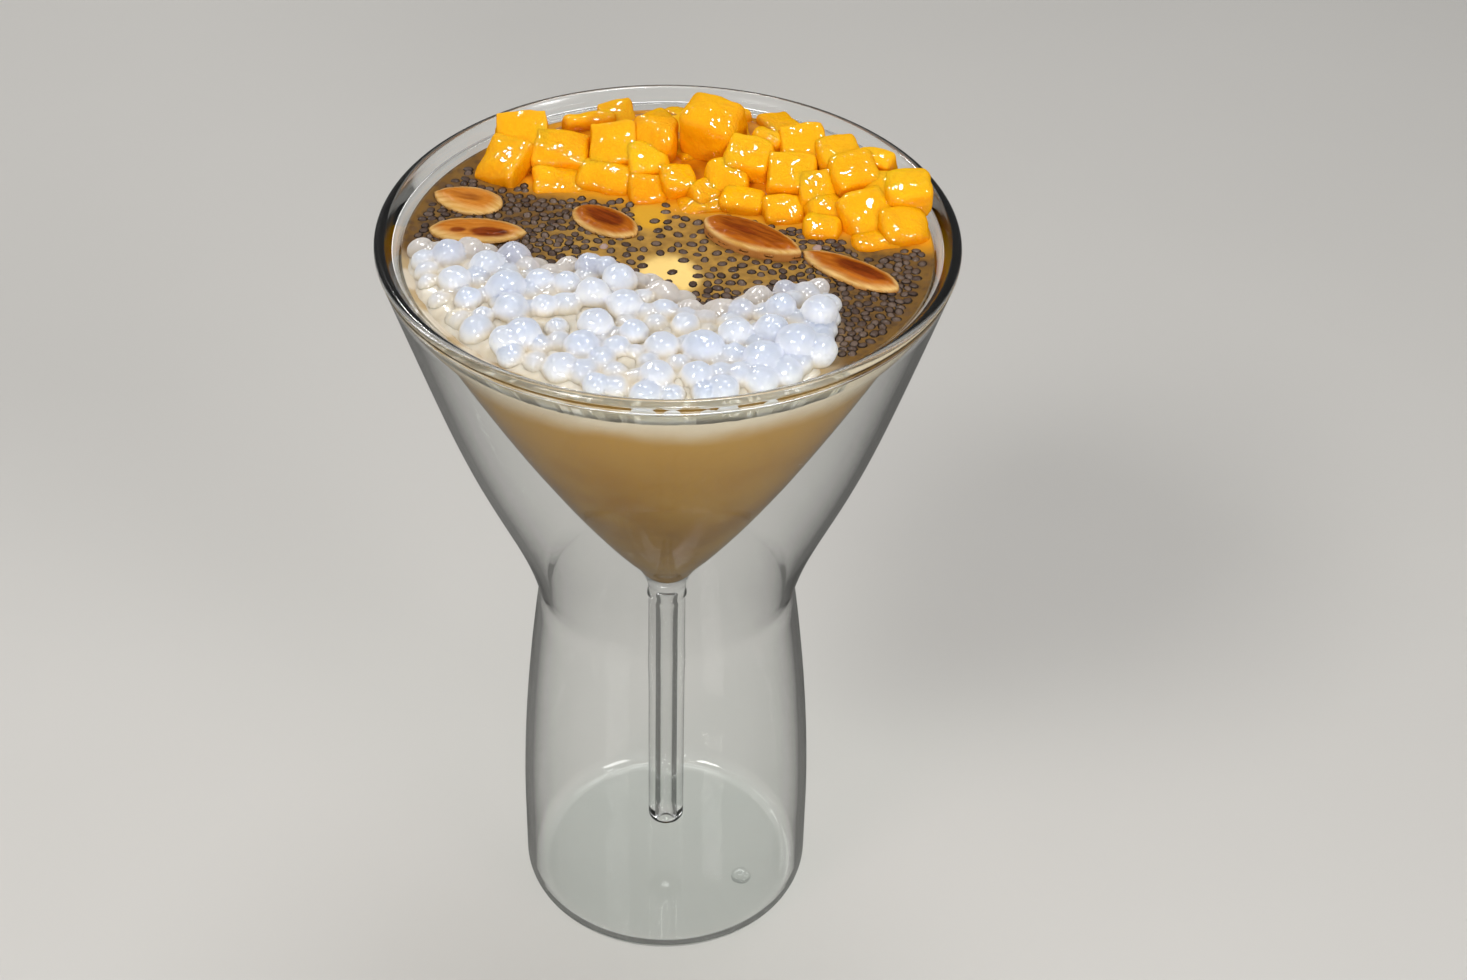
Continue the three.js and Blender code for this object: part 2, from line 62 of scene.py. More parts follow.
# Glass: inner bowl with the stem that hangs from its tip
BOWL_TIP_AT = 83.2
BOWL_SPREAD = 0.774
BOWL_TIP_ROUND = 6.35
BOWL_BELLY = 0.0079
BOWL_WALL = 1.8
BOWL_TOP_RADIUS = 49.2
CAVITY_TOP = 164.6
STEM_RADIUS = 3.85
STEM_BORE = 1.3
STEM_END_AT = 13
STEM_BORE_TOP = 80.5
# the joint where the stem is fused to the bowl: out from the stem, down from the bowl's tip
STEM_JOINT = [(0.25, 3.8), (0.3, 4.3), (0.1, 4.9), (0, 5.6)]
VENT_SPOT = (17, -8)
NUB_RADIUS = 2.2
NUB_HEIGHT = 1.1
NUB_LUMPS = (0.3, 1.5)
GLASS_STEPS = 160

# Contents
LEVEL = 163.5
BITE = 0.12
LEVEL_RADIUS = 49.0
DRINK_STEPS = 144
# the mounds under the heaps
MOUND_SUNK = 0.7
MOUND_SKIRT = 1.5
MOUND_DEEP = 4
MOUND_GRID = 110
MOUND_LUMPS = (0.9, 4)

# Diced mango
MANGO_EDGE_OFFSET = 13.6
MANGO_EDGE_TURN = math.radians(-13.6)
MANGO_CORE_INSET = 4.2
MANGO_CORE_ENDS = (-35, 44)
MANGO_CORE_RISE = 1.8
MANGO_CORE_RUN = 3
DIE_SIZE = (6.8, 9.4)
DIE_TILT = 0.28
DIE_TURN = 0.7
DIE_SHIFT = 1.2
DIE_LIFT = 0.9
MARK_ROOM = 5.6
DIE_CUT_SLOPE = 0.26
DIE_CUT_AT = (0.42, 0.5)
DIE_BEVEL = (1.5, 2.3)
DIE_LUMPS = (1.1, 4)
DIE_WALL_GAP = 0.05
TALL_DIE = 11
TALL_SLANT = (0.34, -0.12)
# x, y, rise, sides, turn, tilt of the dice in full view
MANGO_MARKS = [
    (-33, 25.5, 1.2, (9.4, 11, 7.7), -0.45, 0.3),
    (-30, 32.5, 2.6, (10.1, 9.5, 8.2), 0.15, 0.35),
    (-22, 29, 2.2, (11.4, 9.7, 7.3), -0.05, 0.42),
    (-12, 29, 3.2, (9.2, 9.7, 7.7), 0.05, 0.45),
    (-17.5, 41, 1.6, (11, 4, 6.6), 0.35, 0.3),
    (-4, 31, 4.6, (9.5, 9.2, 7.7), -0.1, 0.35),
    (-5, 25.8, 2, (8.8, 8.4, 7.7), 0.2, 0.4),
    (-13, 22.4, 0.2, (11.7, 8.4, 6.6), -0.25, 0.45),
    (-21.5, 22.6, -1.4, (11.7, 8.8, 6.6), 0.1, 0.3),
    (-4.6, 18.8, -0.2, (8.1, 7.7, 6.4), 0.05, 0.4),
    (1, 20.4, 1.4, (7.3, 7.7, 7.3), 0.25, 0.45),
    (7.6, 31.4, 7.2, (12, 10.6, 11.4), -0.4, 0.2),
    (14.8, 24.3, 4.7, (9.9, 9.2, 7.3), -0.2, 0.42),
    (10.6, 20.4, 2, (9.2, 8.1, 7.3), 0.1, 0.4),
    (6.2, 17.6, 0.6, (6.6, 6.6, 5.9), 0.6, 0.5),
    (13.8, 15.4, 0.3, (9.5, 7.3, 6.2), -0.2, 0.3),
    (5.6, 15.2, -1, (9.5, 6.2, 5.5), 0.15, 0.3),
    (18.8, 28.5, 5.6, (7, 4.8, 7.7), -0.5, 0.3),
    (25, 26.8, 5.6, (9, 8.4, 7.5), 0.2, 0.4),
    (23, 19.8, 3.4, (9.9, 9.5, 8.1), -0.05, 0.38),
    (31.8, 24.4, 5.6, (9, 8.4, 7.5), 0.3, 0.3),
    (34.8, 18.8, 4.8, (9.5, 9, 7.7), 0.35, 0.4),
    (28, 16.4, 2.2, (7.9, 8.1, 7.3), 0.1, 0.4),
    (39.2, 22.6, 5.4, (8.8, 5.5, 6.6), -0.45, 0.3),
    (37.2, 10, 1, (10.1, 10.6, 8.1), 0.55, 0.45),
    (40.5, 16, 3.2, (8.1, 7.7, 7.5), -0.2, 0.4),
    (45.2, 14.6, 4.4, (9.5, 9.7, 7.7), 0.12, 0.3),
    (44.4, 6.8, 0.6, (9.9, 9, 7), 0.3, 0.35),
    (29, 7.6, -0.6, (7.7, 7.5, 6.6), -0.1, 0.3),
    (29.5, 12, 0.4, (8.1, 7.7, 6.6), 0.4, 0.35),
    (21.8, 12.4, -0.3, (8.8, 7.7, 6.4), 0.15, 0.35),
    (39, 3.6, -1.2, (9.9, 6.6, 5.5), 0.2, 0.15),
]
# behind, rise, count, from, to of the rows that fill the heap
MANGO_ROWS = [
    (20, -0.2, 9, -30, 34),
    (27, -0.6, 7, -25, 27),
    (33, -1, 3, -14, 14),
]

# Sago pearls
SAGO_EDGE_Y = -6.9
SAGO_EDGE_SLOPE = -0.12
SAGO_DENTS = [(7.5, 13, 11), (-22, 4, 5)]
SAGO_END_X = 32.5
SAGO_CORE_INSET = 3.4
# x, y, rise and radius of the pearls in full view
SAGO_MARKS = [
    (-45, -9, 1, 2.5),
    (-40.5, -8, 2, 3),
    (-38.5, -16.5, 2, 3),
    (-33, -11.5, 2, 3),
    (-28.5, -8, 2, 3),
    (-29, -19, 2.5, 3.5),
    (-23, -16, 2, 2.5),
    (-43.5, -15.5, 0.5, 2),
    (-35.5, -22.5, 2, 2.5),
    (-40.5, -21, 0, 2.5),
    (-32.5, -27, 1.5, 2),
    (-27.5, -25.5, 2.5, 3),
    (-21.5, -24, 2, 2.5),
    (-27.5, -35, 2, 3),
    (-24.5, -33.5, 2.5, 3),
    (-19, -30, 1, 2.5),
    (-18, -16.5, 2, 2.5),
    (-14, -11, 2.5, 2.5),
    (-11, -12, 3, 2),
    (-8.5, -15.5, 2.5, 3),
    (-13, -20.5, 3, 3),
    (-7, -23.5, 2.5, 3),
    (-12, -30, 2.5, 3),
    (-5, -31.5, 2, 2.5),
    (-14, -36, 2, 3),
    (-8, -36, 1.5, 2.5),
    (-17.5, -41.5, 1, 3),
    (-8, -42.5, 0.5, 2.5),
    (-0.5, -44, 1.5, 3),
    (0, -35.5, 1.5, 3),
    (-4.5, -37, 1, 2),
    (0, -23.5, 1, 2.5),
    (-4, -19.5, 1, 2),
    (4, -28.5, 1.5, 2.5),
    (7.5, -36, 2, 3.5),
    (6.5, -43.5, 1.5, 3),
    (13, -31.5, 2.5, 3),
    (14, -23.5, 1.5, 2.5),
    (18, -39, 2, 3.5),
    (14, -42.5, 1, 2.5),
    (19.5, -31, 3, 3),
    (21, -23.5, 3, 2.5),
    (28, -24.5, 3, 3),
    (22, -16, 1.5, 2),
    (28, -14.5, 1, 2),
    (24, -35, 3, 3.5),
    (28, -35.5, 2, 3),
    (13, -37.5, 1.5, 2.5),
]
LOW_PEARL_TRIES = 2600
LOW_PEARL_RADIUS = (2.2, 3.1)
LOW_PEARL_RISE = 0.5
LOW_PEARL_SHIFT = 0.5
LOW_PEARL_MOST = 1.1
LOW_PEARL_OVERLAP = 0.64
LOW_PEARL_BY_WALL = 0.4
OPEN_MILK_X = -14
PEARL_VOXEL = 0.4
PEARL_PLUMP = 1.09
PEARL_ROUNDS = 5
PEARL_LUMPS = (0.45, 2.6)
PEARL_WIDE = (0.94, 1.08)
PEARL_TALL = (0.9, 1.02)
PEARL_TILT = 0.4
FAR_PEARLS = (2.5, 8)
MILK_RISE = 1.6
MILK_RUN = 6
MILK_CLIMB = 2
MILK_PAST_CORE = 1.5
PEARL_LIGHT_REACH = 4.5
# x, y, rise and radius of pearls sunk in the juice at the heap's edge and in its open milk
SUNK_PEARLS = [
    (-3, -12.2, -1.3, 2.7),
    (-0.4, -15.6, -0.8, 2.8),
    (3.2, -17.4, -1.1, 2.6),
    (10.4, -20.4, -0.9, 2.7),
    (14.4, -18.6, -1.2, 2.6),
    (-24.4, -7.6, -1.3, 2.7),
    (-37, -26.4, -0.3, 2.6),
    (-32.6, -31, -0.3, 2.5),
    (9.6, -21.4, -0.6, 2.8),
]

# Almond slices: x, y, length, width, thickness, turn, and the fullness of the blunt end and the tip
ALMONDS = [
    (-39.2, 14, 14.2, 9.4, 1.2, 2.8, 0.95, 0.6),
    (-36.2, 2.9, 18.6, 8.6, 1.4, -0.03, 0.86, 0.7),
    (-12.3, 7.6, 15, 9, 1.2, -0.63, 0.9, 0.8),
    (15.8, 1.8, 21.4, 9.2, 2.6, -0.54, 0.86, 0.55),
    (34, -7.4, 21.2, 7.8, 1.4, 2.55, 0.9, 0.68),
]
# The browned patches of each slice: along, across, half length, half width, how brown
ALMOND_BROWN = [
    [(0.2, 0.2, 4.8, 1.9, 0.42)],
    [(2.4, -1.6, 4.4, 1.7, 1.0), (-3.6, -1.4, 2.0, 1.1, 0.8)],
    [(-0.2, 0.1, 5.6, 2.7, 1.0)],
    [(-0.4, 0.3, 11.0, 4.2, 0.52), (-2.5, -0.6, 6.0, 1.2, 0.8)],
    [(-2.2, -0.1, 7.2, 2.2, 1.0)],
]
# width of the pale rim of each slice, and how toasted it is inside the rim
ALMOND_RIM = (2.3, 2.0, 1.2, 1.1, 1.5)
ALMOND_TOAST = (0.2, 0.35, 0.85, 1.0, 0.9)
ALMOND_CLEAR = 0.3
ALMOND_SUNK = 0.25
ALMOND_EDGE = 0.35
ALMOND_BULGE = 1.28
ALMOND_THINNING = 0.7
ALMOND_THIN_RIM = 2.2
ALMOND_VOXEL = 0.22
ALMOND_ROUNDS = 8
ALMOND_LUMPS = (0.28, 2.2)

# Chia seeds
SEED_HALF = (1.1, 0.72, 0.5)
SEED_CLEAR = 0.3
SEED_FLAT = 0.72
SEED_PLUMP = 1.2
SEED_SUNK = 0.06
SEED_GROW = (0.92, 1.16)
SEED_TIP = 0.45
# spacing where they are packed, what is added in the golden middle, and its x, y and half sizes
SEED_GAP = 1.48
SEED_LOOSER = 0.65
GOLDEN_MIDDLE = (5, -2, 22, 14)
FIRST_SEEDS = 100
FIRST_SPACING = 3.2
FIRST_TRIES = 4000
SEED_WALL_ROOM = 2.4
DIE_REACH = 0.75
MORE_TRIES = 34000
MORE_Y = (-34, 26)
MORE_SINK = (-0.05, 0.12)
# room of the later seeds to the wall, to the heaps and almonds, and to each die and pearl
MORE_ROOMS = (1.2, -0.8, -1.2)
PALE_EVERY = 140

MANGO_DRAW = 41
SAGO_DRAW = 17
CHIA_DRAW = 7
LOOKS_DRAW = 23

# Bits of mango that lie in the surface: x, y, half sizes, turn
PALE_CHUNK = (0.4, -9.4, 5.8, 6.6, 0.25)
SUNK_BIT = (-4.2, 10.4, 3.4, 4.8, 0.15)

# Camera
CAMERA_AT = (0.01336, -0.41145, 0.43268)
CAMERA_PITCH = math.radians(38.50)
CAMERA_ROLL = math.radians(1.44)
CAMERA_LENS = 63.80

# Soft lamps: place, the height that they aim at, size, watts and tint
LAMPS = {
    "key_light": ((-0.45, -0.5, 0.85), 0.14, (0.26, 0.26), 4.2, (1, 0.98, 0.95)),
    "fill_light": ((0.6, -0.55, 0.6), 0.12, (0.3, 0.4), 2.8, (1, 0.99, 0.98)),
    "top_light": ((0.1, 0.35, 1.0), 0.15, (0.5, 0.4), 3.2, (1, 1, 1)),
    "front_light": ((0.12, -0.9, 0.36), 0.15, (0.2, 0.2), 3.2, (1, 0.99, 0.97)),
    "back_light": ((-0.55, 0.8, 0.55), 0.12, (0.5, 0.4), 1.5, (1, 0.99, 0.97)),
}
# Small lamps that only show as glints
GLINT_LAMP = (0.16, (0.1, 0.1), 1.5, (1, 1, 1))
GLINTS = {
    "left_glint": (-0.35, -0.45, 0.85),
    "right_glint": (0.4, -0.1, 0.9),
    "front_glint": (0.1, -0.85, 0.4),
    "back_glint": (-0.4, 0.5, 0.75),
    "top_glint": (0.05, 0.3, 1.0),
}


def draw_from(seed):
    """A repeatable draw between two bounds."""
    state = [seed]

    def draw(low, high):
        state[0] = (state[0] * 16807) % 2147483647
        return low + (high - low) * (state[0] / 2147483647)

    return draw


def smoothstep(value, low, high):
    share = np.clip((value - low) / (high - low), 0, 1)
    return share * share * (3 - 2 * share)


def arc(x, y, radius, start, end, steps):
    angles = np.radians(np.linspace(start, end, steps + 1))
    return [(x + radius * math.cos(a), y + radius * math.sin(a)) for a in angles]


def line(start, end, steps):
    """Points between two places, without the first."""
    start, run = np.array(start), np.array(end) - np.array(start)
    return [tuple(start + run * i / steps) for i in range(1, steps + 1)]


def bend(start, middle, end, steps):
    """A smooth corner from start to end, pulled towards middle."""
    start, middle, end = np.array(start), np.array(middle), np.array(end)
    shares = np.linspace(0, 1, steps + 1)
    return [tuple((1 - t) ** 2 * start + 2 * t * (1 - t) * middle + t * t * end) for t in shares]


# Where things are


def outer_wall(height):
    if height >= WAIST_AT:
        from_dip = (height - DIP_AT) / DIP_SPREAD
        return RIM_RADIUS - FLARE * (RIM_WIDEST_AT - height) - DIP_DEPTH * math.exp(-from_dip * from_dip / 2)
    climb = max(0, (height - BODY_STRAIGHT_TO) / (WAIST_AT - BODY_STRAIGHT_TO))
    return BASE_RADIUS - (BASE_RADIUS - outer_wall(WAIST_AT)) * climb**BODY_TAPER


def bowl_point(radius, inset):
    run = radius / BOWL_SPREAD
    reach = math.hypot(run, BOWL_TIP_ROUND)
    height = BOWL_TIP_AT + reach - BOWL_TIP_ROUND + BOWL_BELLY * radius * radius
    slope = run / BOWL_SPREAD / reach + 2 * BOWL_BELLY * radius
    along = math.hypot(slope, 1)
    return max(0, radius - inset * slope / along), height + inset / along


def bowl_face(inset):
    """The bowl's wall from its tip up, moved in by an amount."""
    radii = np.concatenate([np.arange(0, 6, 0.75), np.arange(6, BOWL_TOP_RADIUS, 1.2), [BOWL_TOP_RADIUS]])
    return [bowl_point(radius, inset) for radius in radii]


def lip_face(grow):
    """The inner wall between the bowl and the rounded rim, moved out by an amount."""
    foot = bowl_point(BOWL_TOP_RADIUS, BOWL_WALL)
    corner = bowl_point(LIP_CORNER, BOWL_WALL)
    edge = arc(RIM_RADIUS - RIM_ROUND, RIM_WIDEST_AT, RIM_ROUND, RIM_TURN, RIM_TURN, 0)[0]
    middle = tuple(np.array(corner) + LIP_BEND * (np.array(edge) - np.array(corner)))
    places = bend(foot, corner, middle, 6)[1:] + line(middle, edge, 5)
    return [(radius + grow, height) for radius, height in places]


def inner_wall_at(height):
    """Radius of the glass's inner wall at a height."""
    face = bowl_face(BOWL_WALL) + lip_face(0)
    return np.interp(height, [h for _, h in face], [r for r, _ in face])


def mango_spot(along, behind):
    out = behind + MANGO_EDGE_OFFSET
    turn = MANGO_EDGE_TURN
    return along * math.cos(turn) - out * math.sin(turn), along * math.sin(turn) + out * math.cos(turn)


def mango_depth(x, y):
    turn = MANGO_EDGE_TURN
    along = x * math.cos(turn) + y * math.sin(turn)
    out = y * math.cos(turn) - x * math.sin(turn)
    left, right = MANGO_CORE_ENDS
    return np.minimum(np.minimum(out - MANGO_EDGE_OFFSET - MANGO_CORE_INSET, along - left), right - along)


def sago_edge(x):
    """Where the sago ends towards the mango."""
    edge = SAGO_EDGE_Y + SAGO_EDGE_SLOPE * x
    for middle, depth, width in SAGO_DENTS:
        edge = edge - depth * np.exp(-(((x - middle) / width) ** 2))
    return edge


def sago_depth(x, y):
    return np.minimum(sago_edge(x) - y, SAGO_END_X - x)


def mango_dice():
    """Every die as x, y, rise, sides, turn, tilt and lean: the marked ones, then the rows."""
    draw = draw_from(MANGO_DRAW)
    dice = [(*mark, 0) for mark in MANGO_MARKS]
    for behind, row_rise, count, start, end in MANGO_ROWS:
        for i in range(count):
            along = start + (end - start) / count * (i + 0.5) + draw(-DIE_SHIFT, DIE_SHIFT)
            x, y = mango_spot(along, behind + draw(-DIE_SHIFT, DIE_SHIFT))
            sides = (draw(*DIE_SIZE), draw(*DIE_SIZE), draw(*DIE_SIZE))
            rise = row_rise + draw(-DIE_LIFT, DIE_LIFT)
            turn = draw(-DIE_TURN, DIE_TURN)
            tilt = draw(-DIE_TILT, DIE_TILT)
            lean = draw(-DIE_TILT, DIE_TILT)
            if all(math.dist((x, y, rise), mark[:3]) >= MARK_ROOM for mark in MANGO_MARKS):
                dice.append((x, y, rise, sides, turn, tilt, lean))
    return dice


def between_pearls(pearls):
    """More pearls, low in the milk between the others."""
    draw = draw_from(SAGO_DRAW)
    more = []
    for _ in range(LOW_PEARL_TRIES):
        x = draw(-RIM_RADIUS, SAGO_END_X)
        y = draw(-RIM_RADIUS, 0)
        radius = draw(*LOW_PEARL_RADIUS)
        depth = float(sago_depth(x, y))
        rise = LOW_PEARL_RISE + draw(-LOW_PEARL_SHIFT, LOW_PEARL_SHIFT)
        # along the front they lie against the wall, and on the left the milk stays open
        reach = radius * (LOW_PEARL_BY_WALL if x > OPEN_MILK_X else 1)
        if math.hypot(x, y) + reach >= LEVEL_RADIUS or depth <= radius:
            continue
        others = pearls + more
        if all(math.dist((x, y, rise), p[:3]) >= LOW_PEARL_OVERLAP * (p[3] + radius) for p in others):
            more.append((x, y, rise, radius))
    return more


def mound(depth, rise, run):
    """Height of a mound that comes up out of the drink, from how far inside its edge a place is."""
    return LEVEL - MOUND_SUNK + (rise + MOUND_SUNK) * smoothstep(depth, 0, run)


def milk_depth(x, y):
    return sago_depth(x, y) - SAGO_CORE_INSET + MILK_PAST_CORE


def milk_top(x, y):
    """Height of the milky juice that stands between the pearls."""
    from_wall = LEVEL_RADIUS + MILK_CLIMB - np.hypot(x, y)
    return mound(np.minimum(milk_depth(x, y), from_wall), MILK_RISE, MILK_RUN)


def under_almond(x, y, room):
    for middle_x, middle_y, length, width, _, turn, _, _ in ALMONDS:
        dx, dy = x - middle_x, y - middle_y
        along = dx * math.cos(turn) + dy * math.sin(turn)
        across = dy * math.cos(turn) - dx * math.sin(turn)
        if math.hypot(along / (length / 2 + room), across / (width / 2 + room)) < 1:
            return True
    return False


def seed_gap(x, y):
    """Spacing of the seeds: loose in the golden middle and packed at both ends."""
    middle_x, middle_y, wide, deep = GOLDEN_MIDDLE
    from_middle = math.hypot((x - middle_x) / wide, (y - middle_y) / deep)
    return SEED_GAP + SEED_LOOSER * (1 - float(smoothstep(from_middle, 0.55, 1.2)))


def chia_seeds(dice, pearls):
    """Every seed as x, y, turn and sink: the well spaced first ones, then more between them."""
    draw = draw_from(CHIA_DRAW)
    spots = []
    room = SEED_HALF[0] + SEED_CLEAR

    def free(x, y, wall_room, edge_room, piece_room, gap):
        return (
            math.hypot(x, y) < LEVEL_RADIUS - wall_room
            and mango_depth(x, y) < -edge_room
            and sago_depth(x, y) < SAGO_CORE_INSET - edge_room
            and not under_almond(x, y, edge_room)
            and all(math.hypot(d[0] - x, d[1] - y) >= DIE_REACH * max(d[3]) + piece_room for d in dice)
            and all(math.hypot(p[0] - x, p[1] - y) >= p[3] + piece_room for p in pearls)
            and all(math.hypot(s[0] - x, s[1] - y) >= gap for s in spots)
        )

    for _ in range(FIRST_TRIES):
        x = draw(-RIM_RADIUS, RIM_RADIUS)
        y = draw(-RIM_RADIUS, RIM_RADIUS)
        turn = draw(0, math.pi)
        if len(spots) < FIRST_SEEDS and free(x, y, SEED_WALL_ROOM, 2 * room, room, FIRST_SPACING):
            spots.append((x, y, turn, 0))
    for _ in range(MORE_TRIES):
        x = draw(-RIM_RADIUS, RIM_RADIUS)
        y = draw(*MORE_Y)
        turn = draw(0, math.pi)
        sink = draw(*MORE_SINK)
        on_bit = any(
            max(abs(x - bit[0]) / bit[2], abs(y - bit[1]) / bit[3]) < 0.9 for bit in (PALE_CHUNK, SUNK_BIT)
        )
        if not on_bit and free(x, y, *MORE_ROOMS, seed_gap(x, y)):
            spots.append((x, y, turn, sink))
    return spots


# Modelling by hand


def only(piece):
    """Selects one object and makes it the active one."""
    bpy.ops.object.select_all(action="DESELECT")
    piece.select_set(True)
    bpy.context.view_layer.objects.active = piece


def new_primitive(add, **sizes):
    bpy.ops.object.select_all(action="DESELECT")
    add(**sizes)
    return bpy.context.object


def apply_modifier(piece, kind, **settings):
    only(piece)
    modifier = piece.modifiers.new(kind.title(), kind)
    for name, value in settings.items():
        setattr(modifier, name, value)
    bpy.ops.object.modifier_apply(modifier=modifier.name)


def of_vertices(piece, kind):
    found = np.empty(3 * len(piece.data.vertices))
    piece.data.vertices.foreach_get(kind, found)
    return found.reshape(-1, 3)


def places_of(piece):
    return of_vertices(piece, "co")


def set_places(piece, places):
    piece.data.vertices.foreach_set("co", np.asarray(places, float).ravel())
    piece.data.update()


def write_numbers(piece, name, values):
    attribute = piece.data.attributes.new(name, "FLOAT", "POINT")
    attribute.data.foreach_set("value", np.asarray(values, np.float32))


def write_vectors(piece, name, values):
    attribute = piece.data.attributes.new(name, "FLOAT_VECTOR", "POINT")
    attribute.data.foreach_set("vector", np.asarray(values, np.float32).ravel())


def edit_all():
    """Opens the active mesh with all of it selected."""
    bpy.ops.object.mode_set(mode="EDIT")
    bpy.ops.mesh.select_all(action="SELECT")


def sew_up(threshold, inside=False):
    """Merges the doubled vertices of the open mesh, turns its faces out and closes it."""
    bpy.ops.mesh.select_all(action="SELECT")
    bpy.ops.mesh.remove_doubles(threshold=threshold * MM)
    bpy.ops.mesh.normals_make_consistent(inside=inside)
    bpy.ops.object.mode_set(mode="OBJECT")


def spun(profile, steps, inside=False):
    """Extrudes a vertex along a profile of radius and height, and spins it about the upright axis."""
    piece = new_primitive(bpy.ops.mesh.primitive_plane_add, size=MM)
    bpy.ops.object.mode_set(mode="EDIT")
    bpy.ops.mesh.merge(type="CENTER")
    bpy.ops.transform.translate(value=(profile[0][0] * MM, 0, profile[0][1] * MM))
    for before, after in zip(profile, profile[1:]):
        step = ((after[0] - before[0]) * MM, 0, (after[1] - before[1]) * MM)
        bpy.ops.mesh.extrude_vertices_move(TRANSFORM_OT_translate={"value": step})
    bpy.ops.mesh.select_all(action="SELECT")
    bpy.ops.mesh.spin(steps=steps, angle=2 * math.pi, center=(0, 0, 0), axis=(0, 0, 1))
    sew_up(0.002, inside)
    bpy.ops.object.shade_smooth()
    return piece


def joined(pieces):
    bpy.ops.object.select_all(action="DESELECT")
    for piece in pieces:
        piece.select_set(True)
    bpy.context.view_layer.objects.active = pieces[0]
    bpy.ops.object.join()
    return pieces[0]


def lumpy(piece, strength, grain):
    """Pushes the surface in and out by soft clouds, a different way at each place."""
    clouds = bpy.data.textures.new("soft_clouds", "CLOUDS")
    clouds.noise_scale = grain * MM
    clouds.noise_depth = 1
    apply_modifier(
        piece, "DISPLACE", texture=clouds, texture_coords="GLOBAL", strength=strength * MM, mid_level=0.5
    )


def remeshed(piece, voxel, rounds):
    """Wraps a piece in an even mesh and smooths it a number of times."""
    apply_modifier(piece, "REMESH", mode="VOXEL", voxel_size=voxel * MM)
    apply_modifier(piece, "SMOOTH", factor=0.5, iterations=rounds)
    only(piece)
    bpy.ops.object.shade_smooth()


def pose_at(x, y, rise, tilt, lean, turn):
    """A turned place over the drink's level."""
    pose = Euler((tilt, lean, turn), "XYZ").to_matrix().to_4x4()
    pose.translation = Vector((x, y, LEVEL + rise)) * MM
    return pose


def press_to_wall(piece, gap):
    """Moves what would pass the glass's inner wall back to it."""
    places = places_of(piece)
    radius = np.hypot(places[:, 0], places[:, 1])
    most = np.maximum(inner_wall_at(places[:, 2] / MM) - gap, 0.1) * MM
    share = np.minimum(1, most / np.maximum(radius, 1e-9))
    places[:, :2] *= share[:, None]
    set_places(piece, places)


def scattered(master, matrices):
    """One mesh of a copy of the master at each matrix, and the copy that each vertex is of."""
    corner_places = places_of(master)
    faces = [list(face.vertices) for face in master.data.polygons]
    count = len(corner_places)
    places, corners = [], []
    for i, matrix in enumerate(matrices):
        turned = np.array(matrix)
        places.append(corner_places @ turned[:3, :3].T + turned[:3, 3])
        corners += [[corner + i * count for corner in face] for face in faces]
    mesh = bpy.data.meshes.new("scattered")
    mesh.from_pydata(np.concatenate(places).tolist(), [], corners)
    piece = bpy.data.objects.new("scattered", mesh)
    bpy.context.scene.collection.objects.link(piece)
    bpy.data.objects.remove(master)
    only(piece)
    bpy.ops.object.shade_smooth()
    return piece, np.repeat(np.arange(len(matrices)), count)


def ready(piece, name, finish, slot, *nodes):
    """Names a finished piece, gives it its finish and ties it to the frame."""
    piece.name = piece.data.name = name
    piece.data.materials.clear()
    piece.data.materials.append(finish)
    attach(piece, "root")
    if nodes:
        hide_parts(*nodes)
    return piece


# Finishes


def colour(code):
    """A colour code as linear red, green, blue and alpha."""
    parts = [(code >> shift & 255) / 255 for shift in (16, 8, 0)]
    return (*[p / 12.92 if p <= 0.04045 else ((p + 0.055) / 1.055) ** 2.4 for p in parts], 1)


def new_finish(name):
    finish = bpy.data.materials.new(name)
    finish.use_nodes = True
    return finish, finish.node_tree.nodes["Principled BSDF"]


def feed(socket, value):
    """Links a socket to another one, or sets its number or colour."""
    if isinstance(value, bpy.types.NodeSocket):
        socket.id_data.links.new(value, socket)
    else:
        socket.default_value = value


def fill(made, **inputs):
    """Feeds a node's inputs by name."""
    for name, value in inputs.items():
        feed(made.inputs[name.replace("_", " ")], value)
    return made


def node(tree, kind, settings=None, **inputs):
    made = tree.nodes.new("ShaderNode" + kind)
    for name, value in (settings or {}).items():
        setattr(made, name, value)
    return fill(made, **inputs)


def own_place(shader):
    return node(shader.id_data, "TexCoord").outputs["Object"]


def written(shader, name, kind="Fac"):
    """What is written on the mesh's points under a name."""
    return node(shader.id_data, "Attribute", {"attribute_name": name}).outputs[kind]


def noise(place, scale, detail=2.0):
    return node(place.id_data, "TexNoise", Vector=place, Scale=scale, Detail=detail).outputs["Fac"]


def spread(value, low, high, to_low=0.0, to_high=1.0):
    """A value's range between two bounds, eased, as another range."""
    bounds = {"From_Min": low, "From_Max": high, "To_Min": to_low, "To_Max": to_high}
    eased = {"interpolation_type": "SMOOTHSTEP"}
    return node(value.id_data, "MapRange", eased, Value=value, **bounds).outputs["Result"]


def maths(operation, first, second):
    tree = (first if isinstance(first, bpy.types.NodeSocket) else second).id_data
    made = node(tree, "Math", {"operation": operation})
    feed(made.inputs[0], first)
    feed(made.inputs[1], second)
    return made.outputs[0]


def plus(first, second):
    return maths("ADD", first, second)


def minus(first, second):
    return maths("SUBTRACT", first, second)


def times(first, second):
    return maths("MULTIPLY", first, second)


def blended(share, first, second):
    """Two colours mixed by a share. Each is a colour code or a socket."""
    made = node(share.id_data, "Mix", {"data_type": "RGBA"})
    feed(made.inputs[0], share)
    for socket, tone in zip(made.inputs[6:8], (first, second)):
        feed(socket, colour(tone) if isinstance(tone, int) else tone)
    return made.outputs[2]


def ramp(value, stops):
    """The colours between stops, each a place in the value's range and a colour code."""
    made = node(value.id_data, "ValToRGB", Fac=value)
    elements = made.color_ramp.elements
    while len(elements) < len(stops):
        elements.new(0.5)
    for element, (place, code) in zip(elements, stops):
        element.position = place
        element.color = colour(code)
    return made.outputs["Color"]


